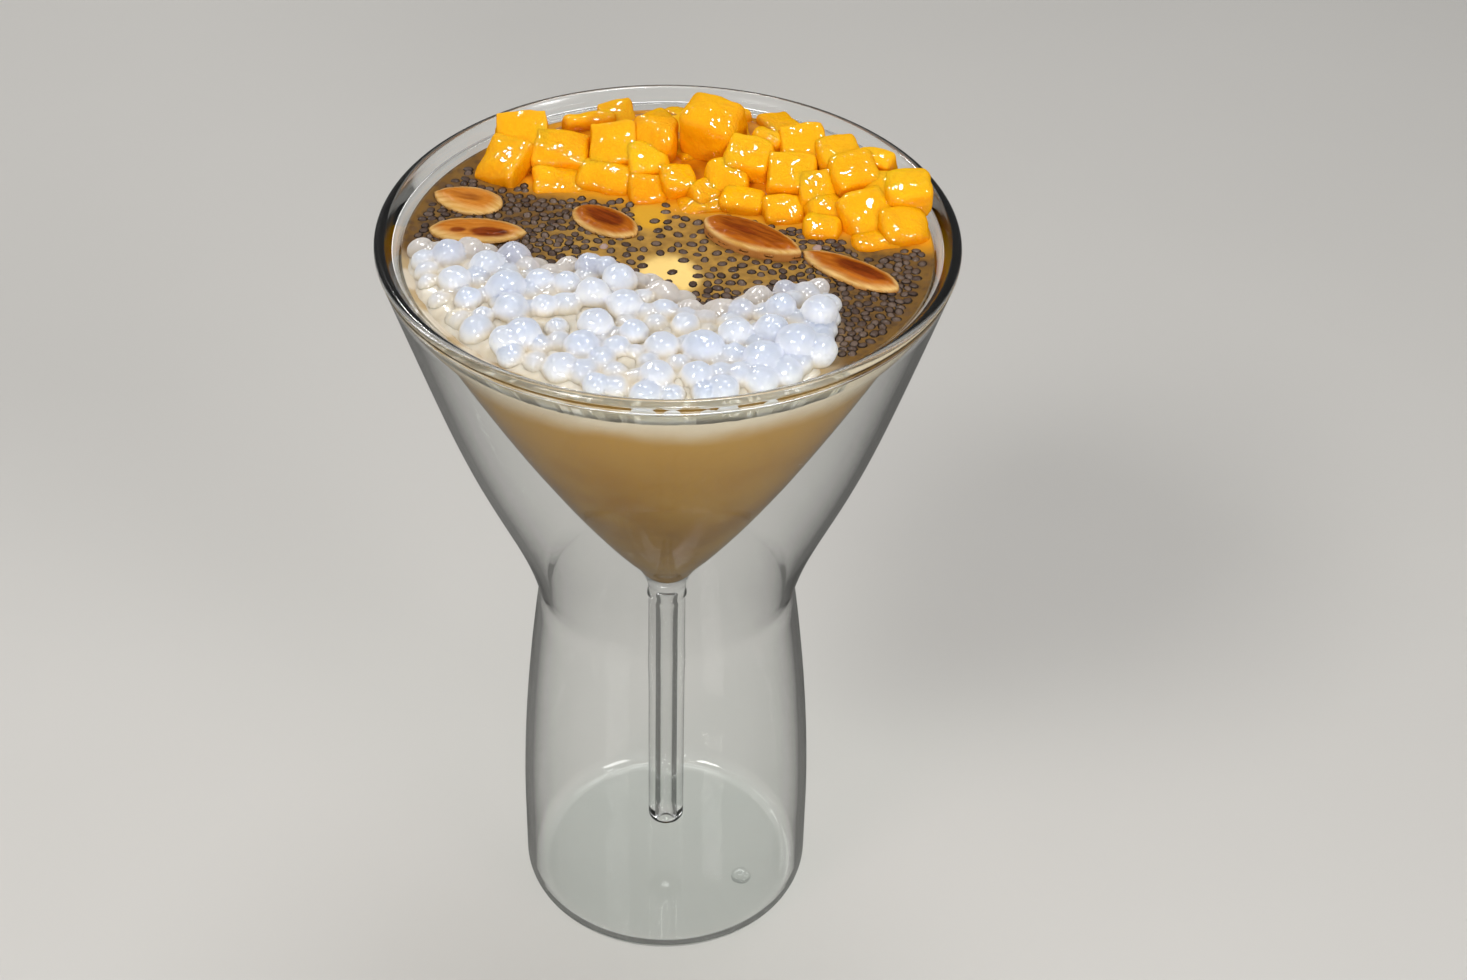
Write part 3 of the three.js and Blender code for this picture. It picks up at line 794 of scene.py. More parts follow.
def axes_of(place):
    made = node(place.id_data, "SeparateXYZ", Vector=place)
    return made.outputs["X"], made.outputs["Y"], made.outputs["Z"]


def bump(shader, height, strength, distance, onto="Normal"):
    made = node(shader.id_data, "Bump", Height=height, Strength=strength, Distance=distance)
    feed(shader.inputs[onto], made.outputs["Normal"])


def wet_film(shader, ior, roughness):
    """A clear coat that fades at the outline, where it would mirror the dark room."""
    edge = node(shader.id_data, "LayerWeight").outputs["Facing"]
    fill(shader, Coat_Weight=spread(edge, 0.3, 0.7, 1, 0.06), Coat_IOR=ior, Coat_Roughness=roughness)


def in_oval(place, x, y, wide, deep, turn=0.0):
    """The place measured from the middle of an oval on the surface, in its half sizes."""
    made = node(place.id_data, "Mapping", {"vector_type": "TEXTURE"}, Vector=place)
    fill(made, Location=(x * MM, y * MM, LEVEL * MM), Rotation=(0, 0, turn), Scale=(wide * MM, deep * MM, 1))
    return made.outputs["Vector"]


def spot(place, x, y, wide, deep):
    """1 in the middle of an oval on the surface, 0 outside it."""
    measured = in_oval(place, x, y, wide, deep)
    length = node(place.id_data, "VectorMath", {"operation": "LENGTH"}, Vector=measured)
    return spread(length.outputs["Value"], 1.0, 0.55)


def chunk(place, x, y, wide, deep, turn):
    """1 on a bit that lies just under the surface, fading to 0 outside its ragged edge."""
    across, along, _ = axes_of(in_oval(place, x, y, wide, deep, turn))
    out = plus(times(across, across), times(along, along))
    ragged = times(minus(noise(place, 230, 2), 0.5), 0.9)
    return spread(plus(out, ragged), 1.4, 0.45)


def clear_glass():
    """Glass with faint smears, and a rim fire-polished to a satin band."""
    finish, shader = new_finish("clear_glass")
    tree = shader.id_data
    place = own_place(shader)
    smeared = spread(noise(place, 60, 4), 0.45, 0.8, 0.0, 0.05)
    rim = spread(axes_of(place)[2], 0.1658, 0.1664, 0.0, 0.15)
    fill(
        shader,
        Base_Color=(0.985, 0.99, 0.985, 1),
        Roughness=maths("MAXIMUM", smeared, rim),
        Transmission_Weight=1,
        IOR=1.47,
    )
    bump(shader, noise(place, 45, 1), 0.06, 0.0006)
    # shadows and soft light pass straight through
    path = node(tree, "LightPath")
    through = node(tree, "BsdfTransparent", Color=(0.94, 0.955, 0.95, 1)).outputs["BSDF"]
    surface = shader.outputs["BSDF"]
    for way in ("Is Shadow Ray", "Is Diffuse Ray"):
        mix = node(tree, "MixShader", Fac=path.outputs[way])
        feed(mix.inputs[1], surface)
        feed(mix.inputs[2], through)
        surface = mix.outputs["Shader"]
    feed(tree.nodes["Material Output"].inputs["Surface"], surface)
    return finish


def mango_milk():
    """Tan milk at the side, and the juice with its gel of seeds on top."""
    finish, shader = new_finish("mango_milk")
    place = own_place(shader)
    x, y, z = axes_of(place)

    # side: white behind the pearls at the front, golden below, browner to the tip
    clouds = noise(place, 55, 4)
    side = ramp(spread(z, 0.084, 0.162), [(0, 0x7C581F), (0.35, 0x8E6524), (0.75, 0xAA7A30), (1, 0xCC9B4C)])
    side = blended(spread(clouds, 0.35, 0.7, 0, 0.35), side, 0xC49A4A)
    ragged = plus(z, times(minus(clouds, 0.5), 0.008))
    by_sago = times(spread(ragged, 0.1505, 0.159), spread(y, 0.012, -0.018))
    side = blended(by_sago, side, 0xF8E6CC)
    by_mango = times(spread(z, 0.150, 0.160), spread(y, 0.002, 0.022))
    side = blended(by_mango, side, 0xE7A531)

    # top: golden juice, packed grey seeds at both ends, cream round the pearls, orange at the mango
    fine = noise(place, 420, 3)
    golden = blended(spread(fine, 0.3, 0.7), 0x9C7638, 0xB68C42)
    cells = node(shader.id_data, "TexVoronoi", Vector=place, Scale=560).outputs["Distance"]
    sunk = spread(cells, 0.62, 0.3)
    grey = blended(spread(fine, 0.35, 0.7), 0x523C24, 0x6A5036)
    away = minus(1.0, spot(place, 4, -2, 37, 22))
    dense = times(away, spread(noise(place, 130, 2), 0.25, 0.55, 0.8, 1))
    golden = blended(times(sunk, 0.2), golden, grey)
    packed = blended(times(sunk, 0.85), 0x735429, grey)
    top = blended(dense, golden, packed)
    out = plus(times(y, math.cos(MANGO_EDGE_TURN)), times(x, -math.sin(MANGO_EDGE_TURN)))
    near_mango = times(spread(out, 0.008, 0.0155), spread(x, -0.040, -0.030))
    top = blended(near_mango, top, 0xE09A1C)
    near_pearls = spread(plus(y, times(x, 0.12)), -0.0085, -0.0135)
    left_of_end = spread(x, 0.0335, 0.0285)
    bay = spot(place, 7.5, -10, 13, 12)
    cream = times(times(near_pearls, left_of_end), minus(1.0, bay))
    milk = blended(spread(noise(place, 150, 2), 0.4, 0.62), 0xB9A078, 0xD6CAB6)
    top = blended(cream, top, milk)
    top = blended(chunk(place, *PALE_CHUNK), top, 0xFFDA86)
    top = blended(chunk(place, *SUNK_BIT), top, 0xD6A02C)

    # the side lies against the glass, so only the top has a gloss of its own
    above = spread(z, 0.1624, 0.1631)
    fill(
        shader,
        Base_Color=blended(above, side, top),
        Roughness=0.38,
        Specular_IOR_Level=times(above, 0.1),
        Coat_Weight=times(above, 0.3),
        Coat_IOR=1.33,
        Coat_Roughness=0.06,
    )
    bump(shader, noise(place, 320, 2), 0.5, 0.0003)
    return finish


def mango_flesh():
    """Yellow at the cut edges, yellower on top as painted light from above, and deeper orange low down as
    painted shade where a die stands in the juice.
    """
    finish, shader = new_finish("mango_flesh")
    place = own_place(shader)
    clouds = noise(place, 190, 3)
    grain = noise(place, 1500, 3)
    tone = plus(times(clouds, 0.35), times(written(shader, "tone"), 0.25))
    # painted light: faces that look up turn yellower, as if lit from above
    tone = plus(tone, times(written(shader, "lit_top"), 0.4))
    flesh = ramp(tone, [(0.2, 0xEA9505), (0.5, 0xF1A30A), (0.82, 0xF9BA16)])
    # painted shade: low down by the drink each die turns deeper orange
    low = spread(axes_of(place)[2], 0.1665, 0.1628)
    flesh = blended(times(low, 0.6), flesh, 0xD87806)
    flesh = blended(spread(grain, 0.55, 0.8, 0, 0.3), flesh, 0xFFC81C)
    flesh = blended(times(written(shader, "cut_edge"), 0.3), flesh, 0xF7AE34)
    fill(
        shader,
        Base_Color=flesh,
        Roughness=spread(clouds, 0.3, 0.7, 0.24, 0.42),
        Specular_IOR_Level=0,
        Subsurface_Weight=0.35,
        Subsurface_Radius=(1.0, 0.7, 0.25),
        Subsurface_Scale=0.0018,
    )
    wet_film(shader, 1.5, 0.04)
    bump(shader, plus(times(grain, 0.5), noise(place, 700, 2)), 0.5, 0.0006)
    bump(shader, noise(place, 330, 1), 1.0, 0.0007, "Coat Normal")
    return finish


def mango_pulp():
    """The soft orange mass that shows between the dice."""
    finish, shader = new_finish("mango_pulp")
    place = own_place(shader)
    tone = blended(spread(noise(place, 260, 3), 0.3, 0.7), 0xC9780A, 0xE39A14)
    fill(shader, Base_Color=tone, Roughness=0.3, Coat_Weight=0.6, Coat_Roughness=0.08)
    bump(shader, noise(place, 500, 2), 0.4, 0.0004)
    return finish


def sago_starch():
    """Cloudy white, with painted shade on top, and tan where a pearl stands in the juice, partly the juice
    and partly painted warm light from the milk.
    """
    finish, shader = new_finish("sago_starch")
    place = own_place(shader)
    clouds = noise(place, 420, 3)
    shade = plus(times(clouds, 0.4), times(written(shader, "tone"), 0.25))
    starch = blended(spread(shade, 0.15, 0.5), 0xD5DAE7, 0xEBEEF6)
    # painted shade: the top is made darker, to hold back the light that falls on it from above
    starch = blended(spread(written(shader, "painted_top_shade"), 0.3, 0.95, 0, 0.8), starch, 0xBAC4D7)
    # the juice on the pearl, and painted warm light bounced from the milk low on it
    starch = blended(written(shader, "juice_and_bounce"), starch, 0xE2D6C0)
    # the ones at the far edge let the dark drink show through
    starch = blended(times(written(shader, "clear"), 0.55), starch, 0x8E8A96)
    fill(
        shader,
        Base_Color=starch,
        Roughness=0.2,
        Specular_IOR_Level=0,
        Subsurface_Weight=1,
        Subsurface_Radius=(0.9, 0.9, 1.0),
        Subsurface_Scale=0.005,
    )
    wet_film(shader, 1.8, 0.17)
    bump(shader, clouds, 0.3, 0.0004)
    bump(shader, noise(place, 420, 1), 0.4, 0.0005, "Coat Normal")
    return finish


def sago_milk():
    """The milky juice between the pearls, paler near them as painted light scattered from the pearls, and
    darker away from them.
    """
    finish, shader = new_finish("sago_milk")
    place = own_place(shader)
    tone = blended(spread(noise(place, 170, 3), 0.3, 0.7), 0xDFD2BA, 0xEEE5D3)
    # painted light: paler near the pearls, as if lit by the light they scatter
    fill(
        shader,
        Base_Color=blended(written(shader, "lit_near_pearls"), 0xA8967E, tone),
        Roughness=0.3,
        Subsurface_Weight=0.6,
        Subsurface_Radius=(1.0, 0.9, 0.7),
        Subsurface_Scale=0.003,
        Coat_Weight=0.8,
        Coat_Roughness=0.06,
    )
    bump(shader, noise(place, 350, 2), 0.3, 0.0003)
    return finish


def toasted_almond():
    """Cream at the rim, caramel inside it, and a browned middle with grain along the slice."""
    finish, shader = new_finish("toasted_almond")
    place = written(shader, "slice_place", "Vector")
    stretched = node(shader.id_data, "Mapping", Vector=place, Scale=(0.13, 1.0, 0.4))
    grain = noise(stretched.outputs["Vector"], 1400, 4)
    streaks = spread(grain, 0.3, 0.7)
    patches = minus(noise(place, 210, 3), 0.5)
    inside = written(shader, "inside")
    rim = spread(plus(inside, times(patches, 0.7)), 0, 1)
    browned = plus(written(shader, "brown"), times(patches, 0.5))
    middle = times(spread(browned, 0.1, 0.9), spread(inside, 0.15, 0.7))
    cream = blended(streaks, 0xCE9E52, 0xE2BE7E)
    cream = blended(spread(written(shader, "below"), 0.7, 1.6), cream, 0xB4783E)
    golden = blended(streaks, 0xC47620, 0xD68E3A)
    caramel = blended(streaks, 0x984A06, 0xB66414)
    caramel = blended(written(shader, "toast"), golden, caramel)
    dark = blended(spread(grain, 0.3, 0.65), 0x5A2004, 0x883A08)
    fill(
        shader,
        Base_Color=blended(middle, blended(rim, cream, caramel), dark),
        Roughness=spread(grain, 0.3, 0.7, 0.3, 0.5),
        Specular_IOR_Level=0.05,
        Coat_Weight=0.05,
        Coat_Roughness=0.15,
    )
    bump(shader, grain, 0.35, 0.00025)
    return finish


def chia_skin():
    """Grey-brown with a dark outline, each seed in its own shade."""
    finish, shader = new_finish("chia_skin")
    speckle = noise(own_place(shader), 2600, 3)
    skin = blended(written(shader, "tone"), 0x483830, 0x705E52)
    skin = blended(spread(speckle, 0.5, 0.75, 0, 0.5), skin, 0x3A2B22)
    skin = blended(spread(written(shader, "outward"), 0.5, 0.85), skin, 0x20150E)
    skin = blended(times(written(shader, "pale"), 0.85), skin, 0xB89C92)
    fill(
        shader,
        Base_Color=skin,
        Roughness=0.4,
        Specular_IOR_Level=0.1,
        Coat_Weight=0.25,
        Coat_IOR=1.33,
        Coat_Roughness=0.08,
    )
    bump(shader, speckle, 0.2, 0.0001)
    return finish


def pale_floor():
    finish, shader = new_finish("pale_floor")
    tone = blended(noise(own_place(shader), 6, 3), 0xCBC9C5, 0xD2D0CC)
    # mirrored in the glass it is darker, so the drink's colour isn't veiled
    mirrored = maths("MINIMUM", node(shader.id_data, "LightPath").outputs["Glossy Depth"], 1.0)
    fill(shader, Base_Color=blended(mirrored, tone, 0x6C6B68), Roughness=0.6)
    return finish


# Pieces


def make_glass(finish):
    """Two spun shells: the skin that the air meets, and the hollow between the walls with the stem in it."""
    inset = BASE_RADIUS - BASE_CORNER
    heights = np.linspace(BASE_CORNER + 2, RIM_WIDEST_AT - 1, 62)
    skin = [(0, 0), (14, 0), (inset - 1.5, 0)]
    skin += arc(inset, BASE_CORNER, BASE_CORNER, -90, 0, 10)
    skin += [(outer_wall(h), h) for h in heights]
    skin += arc(RIM_RADIUS - RIM_ROUND, RIM_WIDEST_AT, RIM_ROUND, 0, RIM_TURN, 12)
    skin += (bowl_face(BOWL_WALL) + lip_face(0))[::-1][1:]
    outside = spun(skin, GLASS_STEPS)

    corner = BASE_CORNER - WALL
    hollow = [(0, FLOOR), (14, FLOOR), (inset - 1.5, FLOOR)]
    hollow += [(r, max(h, FLOOR)) for r, h in arc(inset, BASE_CORNER, corner, -88, 0, 8)]
    hollow += [(outer_wall(h) - WALL, h) for h in np.linspace(BASE_CORNER + 2, CAVITY_TOP - 1, 60)]
    crest = outer_wall(CAVITY_TOP) - WALL
    bowl_top = bowl_point(LIP_CORNER, 0)
    hollow += bend(hollow[-1], (crest, CAVITY_TOP + 0.4), (crest - 1.4, CAVITY_TOP - 0.8), 8)[1:]
    hollow += line(hollow[-1], bowl_top, 3)
    hollow += [place for place in bowl_face(0)[::-1] if place[0] > STEM_RADIUS + 2.2]
    hollow += bend(hollow[-1], (STEM_RADIUS + 0.1, BOWL_TIP_AT + 0.6), (STEM_RADIUS, BOWL_TIP_AT - 3), 8)[1:]
    hollow += [(STEM_RADIUS + out, BOWL_TIP_AT - down) for out, down in STEM_JOINT]
    hollow += line(hollow[-1], (STEM_RADIUS, STEM_END_AT + 1), 12)
    hollow += arc(STEM_RADIUS - 1, STEM_END_AT + 1, 1, 0, -90, 5)[1:]
    hollow += [(STEM_BORE + 0.4, STEM_END_AT), (STEM_BORE, STEM_END_AT + 0.4)]
    hollow += line(hollow[-1], (STEM_BORE, STEM_BORE_TOP - 1), 12)
    hollow += [(0.8 * STEM_BORE, STEM_BORE_TOP - 0.3), (0, STEM_BORE_TOP)]
    inside = spun(hollow, GLASS_STEPS, inside=True)
    return ready(joined([outside, inside]), "glass_body", finish, "clear_glass", "glass")


def make_nub(finish):
    """The melted button on the glass's floor."""
    middle = (VENT_SPOT[0] * MM, VENT_SPOT[1] * MM, FLOOR * MM)
    ball = {"segments": 32, "ring_count": 16, "radius": NUB_RADIUS * MM, "location": middle}
    piece = new_primitive(bpy.ops.mesh.primitive_uv_sphere_add, **ball)
    bpy.ops.object.transform_apply(location=True)
    edit_all()
    bpy.ops.transform.resize(value=(1, 1, NUB_HEIGHT / NUB_RADIUS), center_override=middle)
    bpy.ops.mesh.bisect(
        plane_co=(0, 0, (FLOOR - 0.2) * MM), plane_no=(0, 0, 1), use_fill=True, clear_inner=True
    )
    bpy.ops.object.mode_set(mode="OBJECT")
    bpy.ops.object.shade_smooth_by_angle(angle=0.9)
    lumpy(piece, *NUB_LUMPS)
    return ready(piece, "vent_nub", finish, "clear_glass", "vent_seal")


def make_drink(finish):
    """A spun filling that bites just into the bowl's wall and climbs it in a narrow edge."""
    side = bowl_face(BOWL_WALL - BITE)
    side += [place for place in lip_face(BITE) if place[1] < LEVEL - 0.2]
    reach = float(inner_wall_at(LEVEL))
    edge = [(reach + BITE, LEVEL), (reach + BITE + 0.35, LEVEL + 0.45), (reach - 0.1, LEVEL + 0.3)]
    edge += [(reach - 0.5, LEVEL + 0.12), (reach - 1.1, LEVEL + 0.03)]
    top = [(radius, LEVEL) for radius in np.linspace(reach - 2, 0, 40)]
    piece = spun(side + edge + top, DRINK_STEPS)
    return ready(piece, "drink_filling", finish, "mango_milk", "drink")


def make_core(name, depth_at, rise, run, climb, finish, slot, node_name):
    """A mound under a heap: a grid, raised where the heap is, and drawn down into the drink."""
    cells = {"x_subdivisions": MOUND_GRID, "y_subdivisions": MOUND_GRID, "size": 2 * RIM_RADIUS * MM}
    piece = new_primitive(bpy.ops.mesh.primitive_grid_add, **cells)
    places = places_of(piece)
    from_wall = LEVEL_RADIUS + climb - np.hypot(places[:, 0], places[:, 1]) / MM
    depth = np.minimum(depth_at(places[:, 0] / MM, places[:, 1] / MM), from_wall)
    places[:, 2] = mound(depth, rise, run) * MM
    set_places(piece, places)
    outside = depth < -MOUND_SKIRT
    bpy.ops.object.mode_set(mode="EDIT")
    bpy.ops.mesh.select_mode(type="VERT")
    bpy.ops.mesh.select_all(action="DESELECT")
    bpy.ops.object.mode_set(mode="OBJECT")
    piece.data.vertices.foreach_set("select", outside)
    bpy.ops.object.mode_set(mode="EDIT")
    bpy.ops.mesh.delete(type="VERT")
    bpy.ops.mesh.select_all(action="SELECT")
    bpy.ops.mesh.extrude_region_move(TRANSFORM_OT_translate={"value": (0, 0, -MOUND_DEEP * MM)})
    bpy.ops.mesh.select_all(action="SELECT")
    bpy.ops.mesh.normals_make_consistent(inside=False)
    bpy.ops.object.mode_set(mode="OBJECT")
    bpy.ops.object.shade_smooth()
    lumpy(piece, *MOUND_LUMPS)
    press_to_wall(piece, -BITE)
    return ready(piece, name, finish, slot, node_name)


def make_dice(dice, finish):
    """Each die is a cube cut to its sides, with one slanted cut, then rounded and pressed to the wall."""
    draw = draw_from(LOOKS_DRAW)
    pieces, tones, edges = [], [], []
    for i, (x, y, rise, sides, turn, tilt, lean) in enumerate(dice):
        piece = new_primitive(bpy.ops.mesh.primitive_cube_add, size=1)
        edit_all()
        bpy.ops.transform.resize(value=[side * MM for side in sides], center_override=(0, 0, 0))
        slopes = (draw(-DIE_CUT_SLOPE, DIE_CUT_SLOPE), draw(-DIE_CUT_SLOPE, DIE_CUT_SLOPE))
        slant = Vector((*(TALL_SLANT if i == TALL_DIE else slopes), 1)).normalized()
        cut_at = slant * (sides[2] * draw(*DIE_CUT_AT) * MM)
        bpy.ops.mesh.bisect(plane_co=cut_at, plane_no=slant, use_fill=True, clear_outer=True)
        bpy.ops.object.mode_set(mode="OBJECT")
        apply_modifier(piece, "BEVEL", width=draw(*DIE_BEVEL) * MM, segments=2, limit_method="ANGLE")
        apply_modifier(piece, "SUBSURF", levels=2, render_levels=2)
        out = np.sort(np.abs(places_of(piece)) / (np.array(sides) / 2 * MM), axis=1)
        edges.append(smoothstep(out[:, 1], 0.7, 0.98))
        piece.data.transform(pose_at(x, y, rise, tilt, lean, turn))
        pieces.append(piece)
        tones += [draw(0, 1)] * len(piece.data.vertices)
    heap = joined(pieces)
    bpy.ops.object.shade_smooth()
    lumpy(heap, *DIE_LUMPS)
    press_to_wall(heap, DIE_WALL_GAP)
    write_numbers(heap, "tone", tones)
    write_numbers(heap, "cut_edge", np.concatenate(edges))
    # painted light: how far each face looks up, for the yellower lit tops
    write_numbers(heap, "lit_top", np.clip(of_vertices(heap, "normal")[:, 2], 0, 1))
    return ready(heap, "mango_dice", finish, "mango_flesh", "mango_heap")


def note_pearls(milk, pearls):
    """Writes how near each point of the milk lies to a pearl, for the painted light near the pearls."""
    places = places_of(milk)[:, :2] / MM
    gap = np.min([np.linalg.norm(places - p[:2], axis=1) - p[3] for p in pearls], axis=0)
    write_numbers(milk, "lit_near_pearls", 1 - smoothstep(gap, 0, PEARL_LIGHT_REACH))


def shade_pearls(piece, pearls, sunk, draw):
    """Writes the tone of the pearl that each vertex lies on, the painted shade on its top, and the tan of
    the juice with painted warm light from the milk.
    """
    places = places_of(piece) / MM
    nearest = np.full(len(places), 1e9)
    tones, juice_and_bounces, top_shades, clears = np.zeros((4, len(places)))
    for i, (x, y, rise, radius) in enumerate(pearls + sunk):
        tone = draw(0, 1)
        away = np.linalg.norm(places - (x, y, LEVEL + rise), axis=1) - radius
        closer = away < nearest
        nearest[closer] = away[closer]
        tones[closer] = tone
        # painted shade on each pearl's top: how high up on it the vertex lies
        top_shades[closer] = (places[closer, 2] - LEVEL - rise) / radius
        far = 1 - smoothstep(sago_edge(x) - y, *FAR_PEARLS)
        low = rise < LOW_PEARL_MOST
        juice_and_bounces[closer] = 0.8 if i >= len(pearls) else max(0.12 * tone, 0.75 * far * low)
        clears[closer] = far * (0.6 if low else 1)
    stands_out = places[:, 2] - milk_top(places[:, 0], places[:, 1])
    write_numbers(piece, "tone", tones)
    write_numbers(piece, "painted_top_shade", np.clip(top_shades, 0, 1))
    write_numbers(piece, "clear", clears)
    # painted warm light from the milk, and the juice's tan, on what stands less than 2 mm out of the milk
    write_numbers(piece, "juice_and_bounce", np.minimum(1, juice_and_bounces + 0.9 - 0.9 * smoothstep(stands_out, 0, 2)))


def make_pearls(pearls, sunk, finish):
    """Balls a little out of round, fused where they touch, and tan where they stand in the juice, partly the
    juice and partly painted warm light from the milk.
    """
    draw = draw_from(LOOKS_DRAW)
    master = new_primitive(bpy.ops.mesh.primitive_ico_sphere_add, subdivisions=3, radius=MM)
    matrices = []
    for x, y, rise, radius in pearls + sunk:
        full = radius * PEARL_PLUMP
        halves = [full * draw(*share) for share in (PEARL_WIDE, PEARL_WIDE, PEARL_TALL)]
        tilt, lean, turn = draw(-PEARL_TILT, PEARL_TILT), draw(-PEARL_TILT, PEARL_TILT), draw(0, 3)
        matrices.append(pose_at(x, y, rise, tilt, lean, turn) @ Matrix.Diagonal((*halves, 1)))
    piece, _ = scattered(master, matrices)
    remeshed(piece, PEARL_VOXEL, PEARL_ROUNDS)
    lumpy(piece, *PEARL_LUMPS)
    press_to_wall(piece, -BITE)
    shade_pearls(piece, pearls, sunk, draw)
    return ready(piece, "sago_pearls", finish, "sago_pearl", "sago_heap")


def almond_blank(half, side, blunt, pointed, tall):
    """A flat bezier outline given its thickness and a rounded edge, as an even mesh."""
    edge = ALMOND_EDGE * MM
    outline = new_primitive(bpy.ops.curve.primitive_bezier_circle_add, radius=half)
    curve = outline.data
    bpy.ops.object.mode_set(mode="EDIT")
    bpy.ops.curve.select_all(action="DESELECT")
    for point in curve.splines[0].bezier_points[2:]:
        point.select_control_point = point.select_left_handle = point.select_right_handle = True
    bpy.ops.curve.delete(type="VERT")
    bpy.ops.object.mode_set(mode="OBJECT")
    spline = curve.splines[0]
    spline.use_cyclic_u = True
    handles = [(-half, (blunt, side), (blunt, -side)), (half, (pointed, -side), (pointed, side))]
    for point, (end, left, right) in zip(spline.bezier_points, handles):
        point.handle_left_type = point.handle_right_type = "FREE"
        point.co = (end, 0, 0)
        point.handle_left = (*left, 0)
        point.handle_right = (*right, 0)
    curve.dimensions = "2D"
    curve.fill_mode = "BOTH"
    curve.resolution_u = 24
    curve.extrude = tall / 2 - edge
    curve.bevel_depth = edge
    curve.bevel_resolution = 3
    curve.offset = -edge
    only(outline)
    bpy.ops.object.convert(target="MESH")
    piece = bpy.context.object
    bpy.ops.object.mode_set(mode="EDIT")
    sew_up(0.005)
    remeshed(piece, ALMOND_VOXEL, ALMOND_ROUNDS)
    return piece


def inside_almond(places, half, side, blunt, pointed):
    """How far in from the outline each place lies, in millimetres."""
    t = np.linspace(0, 1, 60)[:, None]
    shares = np.hstack([(1 - t) ** 3, 3 * t * (1 - t) ** 2, 3 * t**2 * (1 - t), t**3])
    sides = [shares @ np.array([(-half, 0), (blunt, y), (pointed, y), (half, 0)]) for y in (-side, side)]
    ring = np.concatenate(sides)
    return np.min(np.linalg.norm(places[:, None, :2] - ring[None], axis=2), axis=1) / MM


def make_almond(number, finish):
    """A slice that thins to its rim, browned in patches and a little uneven."""
    x, y, length, width, thick, turn, blunt_end, tip_end = ALMONDS[number - 1]
    half, side = length / 2 * MM, width / 2 * ALMOND_BULGE * MM
    outline = (half, side, -half * blunt_end, half * tip_end)
    tall = (thick + ALMOND_CLEAR + ALMOND_SUNK) * MM
    piece = almond_blank(*outline, tall)
    places = places_of(piece)
    inside = inside_almond(places, *outline)
    thinning = ALMOND_THINNING * min(1, thick) * (1 - smoothstep(inside, 0, ALMOND_THIN_RIM))
    places[:, 2] -= np.where(places[:, 2] > 0, thinning, 0) * MM
    set_places(piece, places)
    write_vectors(piece, "slice_place", places + np.array((0.05 * number, 0.03 * number, 0)))
    brown = np.zeros(len(places))
    for along, across, long, wide, share in ALMOND_BROWN[number - 1]:
        out = np.hypot((places[:, 0] / MM - along) / long, (places[:, 1] / MM - across) / wide)
        brown = np.maximum(brown, share * (1 - smoothstep(out, 0.45, 1.15)))
    write_numbers(piece, "inside", inside / ALMOND_RIM[number - 1])
    write_numbers(piece, "toast", np.full(len(places), ALMOND_TOAST[number - 1]))
    write_numbers(piece, "below", (places[:, 2].max() - places[:, 2]) / MM)
    write_numbers(piece, "brown", brown)
    pose = Euler((0, 0, turn), "XYZ").to_matrix().to_4x4()
    pose.translation = Vector((x * MM, y * MM, (LEVEL + ALMOND_CLEAR + thick) * MM - tall / 2))
    piece.data.transform(pose)
    piece.matrix_world = Matrix.Identity(4)
    lumpy(piece, *ALMOND_LUMPS)
    return ready(piece, f"almond_slice_{number}", finish, "toasted_almond", f"almond_{number}")


def make_seeds(seeds, finish):
    """Flat seeds in the drink's surface, with a pale one now and then."""
    draw = draw_from(LOOKS_DRAW)
    master = new_primitive(bpy.ops.mesh.primitive_uv_sphere_add, segments=8, ring_count=6, radius=MM)
    matrices, tones = [], []
    for x, y, turn, sink in seeds:
        grow = draw(*SEED_GROW)
        half = (SEED_HALF[0] * grow, SEED_HALF[1] * grow * SEED_PLUMP, SEED_HALF[2] * SEED_FLAT)
        shape = Matrix.Diagonal((*half, 1))
        pose = Matrix.Rotation(draw(0, SEED_TIP), 4, "X") @ Matrix.Rotation(turn, 4, "Z")
        pose.translation = Vector((x, y, LEVEL - sink - SEED_SUNK)) * MM
        matrices.append(pose @ shape)
        tones.append(draw(0, 1))
    outward = np.hypot(*places_of(master)[:, :2].T) / MM
    piece, owner = scattered(master, matrices)
    write_numbers(piece, "tone", np.array(tones)[owner])
    write_numbers(piece, "outward", np.tile(outward, len(matrices)))
    write_numbers(piece, "pale", np.arange(len(matrices))[owner] % PALE_EVERY == PALE_EVERY - 1)
    return ready(piece, "chia_seeds", finish, "mango_milk", "drink")


# Camera, floor and light


def add_camera():
    data = bpy.data.cameras.new("camera")
    data.lens = CAMERA_LENS
    data.sensor_width = 36
    data.sensor_fit = "HORIZONTAL"
    data.clip_start = 0.01
    data.clip_end = 30
    camera = bpy.data.objects.new("camera", data)
    bpy.context.scene.collection.objects.link(camera)
    forward = Vector((0, math.cos(CAMERA_PITCH), -math.sin(CAMERA_PITCH)))
    level = Vector((1, 0, 0))
    up = level.cross(forward)
    right = math.cos(CAMERA_ROLL) * level + math.sin(CAMERA_ROLL) * up
    up = math.cos(CAMERA_ROLL) * up - math.sin(CAMERA_ROLL) * level
    pose = Matrix((right, up, -forward)).transposed().to_4x4()
    pose.translation = Vector(CAMERA_AT)
    camera.matrix_world = pose
    bpy.context.scene.camera = camera


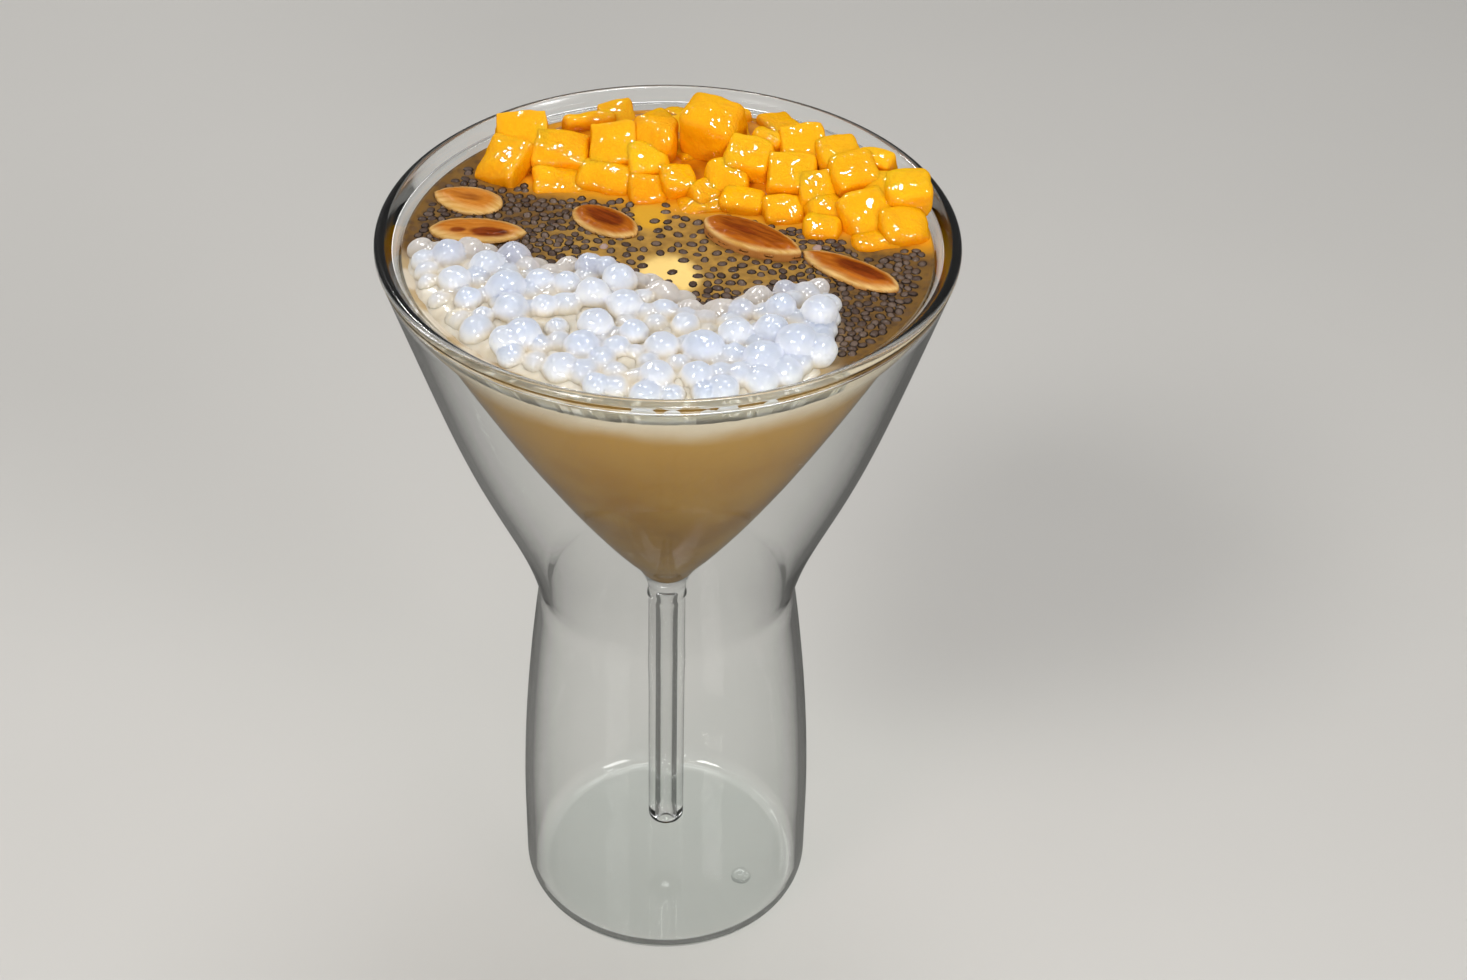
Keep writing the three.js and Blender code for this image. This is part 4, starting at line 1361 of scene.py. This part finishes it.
def add_lamp(name, place, aim_height, size, watts, tint, lights=True, mirrored=True):
    data = bpy.data.lights.new(name, "AREA")
    data.shape = "RECTANGLE"
    data.size, data.size_y = size
    data.energy = watts
    data.color = tint
    lamp = bpy.data.objects.new(name, data)
    bpy.context.scene.collection.objects.link(lamp)
    lamp.location = place
    lamp.rotation_euler = (Vector((0, 0, aim_height)) - Vector(place)).to_track_quat("-Z", "Y").to_euler()
    lamp.visible_diffuse = lights
    lamp.visible_glossy = mirrored


def add_stage():
    floor = new_primitive(bpy.ops.mesh.primitive_plane_add, size=8)
    floor.name = "floor"
    floor.data.materials.append(pale_floor())
    world = bpy.data.worlds.new("studio")
    world.use_nodes = True
    # brighter behind the glass, so that its edges stay clear
    seen_through = node(world.node_tree, "LightPath").outputs["Is Transmission Ray"]
    strength = spread(seen_through, 0, 1, 0.22, 0.6)
    fill(world.node_tree.nodes["Background"], Color=(0.78, 0.78, 0.78, 1), Strength=strength)
    bpy.context.scene.world = world
    for name, lamp in LAMPS.items():
        add_lamp(name, *lamp, mirrored=False)
    for name, place in GLINTS.items():
        add_lamp(name, place, *GLINT_LAMP, lights=False)
    scene = bpy.context.scene
    scene.view_settings.view_transform = "Standard"
    scene.cycles.max_bounces = 64
    scene.cycles.transmission_bounces = 64
    scene.cycles.transparent_max_bounces = 64


add_camera()
add_stage()
dice = mango_dice()
seeds = chia_seeds(dice, SAGO_MARKS)

glass_finish = clear_glass()
make_glass(glass_finish)
make_nub(glass_finish)
make_drink(mango_milk())
make_core(
    "mango_pulp", mango_depth, MANGO_CORE_RISE, MANGO_CORE_RUN, 0, mango_pulp(), "mango_flesh", "mango_heap"
)
milk = make_core(
    "sago_milk", milk_depth, MILK_RISE, MILK_RUN, MILK_CLIMB, sago_milk(), "sago_pearl", "sago_heap"
)
make_dice(dice, mango_flesh())
pearls = SAGO_MARKS + between_pearls(SAGO_MARKS)
note_pearls(milk, pearls)
make_pearls(pearls, SUNK_PEARLS, sago_starch())
almond_finish = toasted_almond()
for number in range(1, len(ALMONDS) + 1):
    make_almond(number, almond_finish)
make_seeds(seeds, chia_skin())
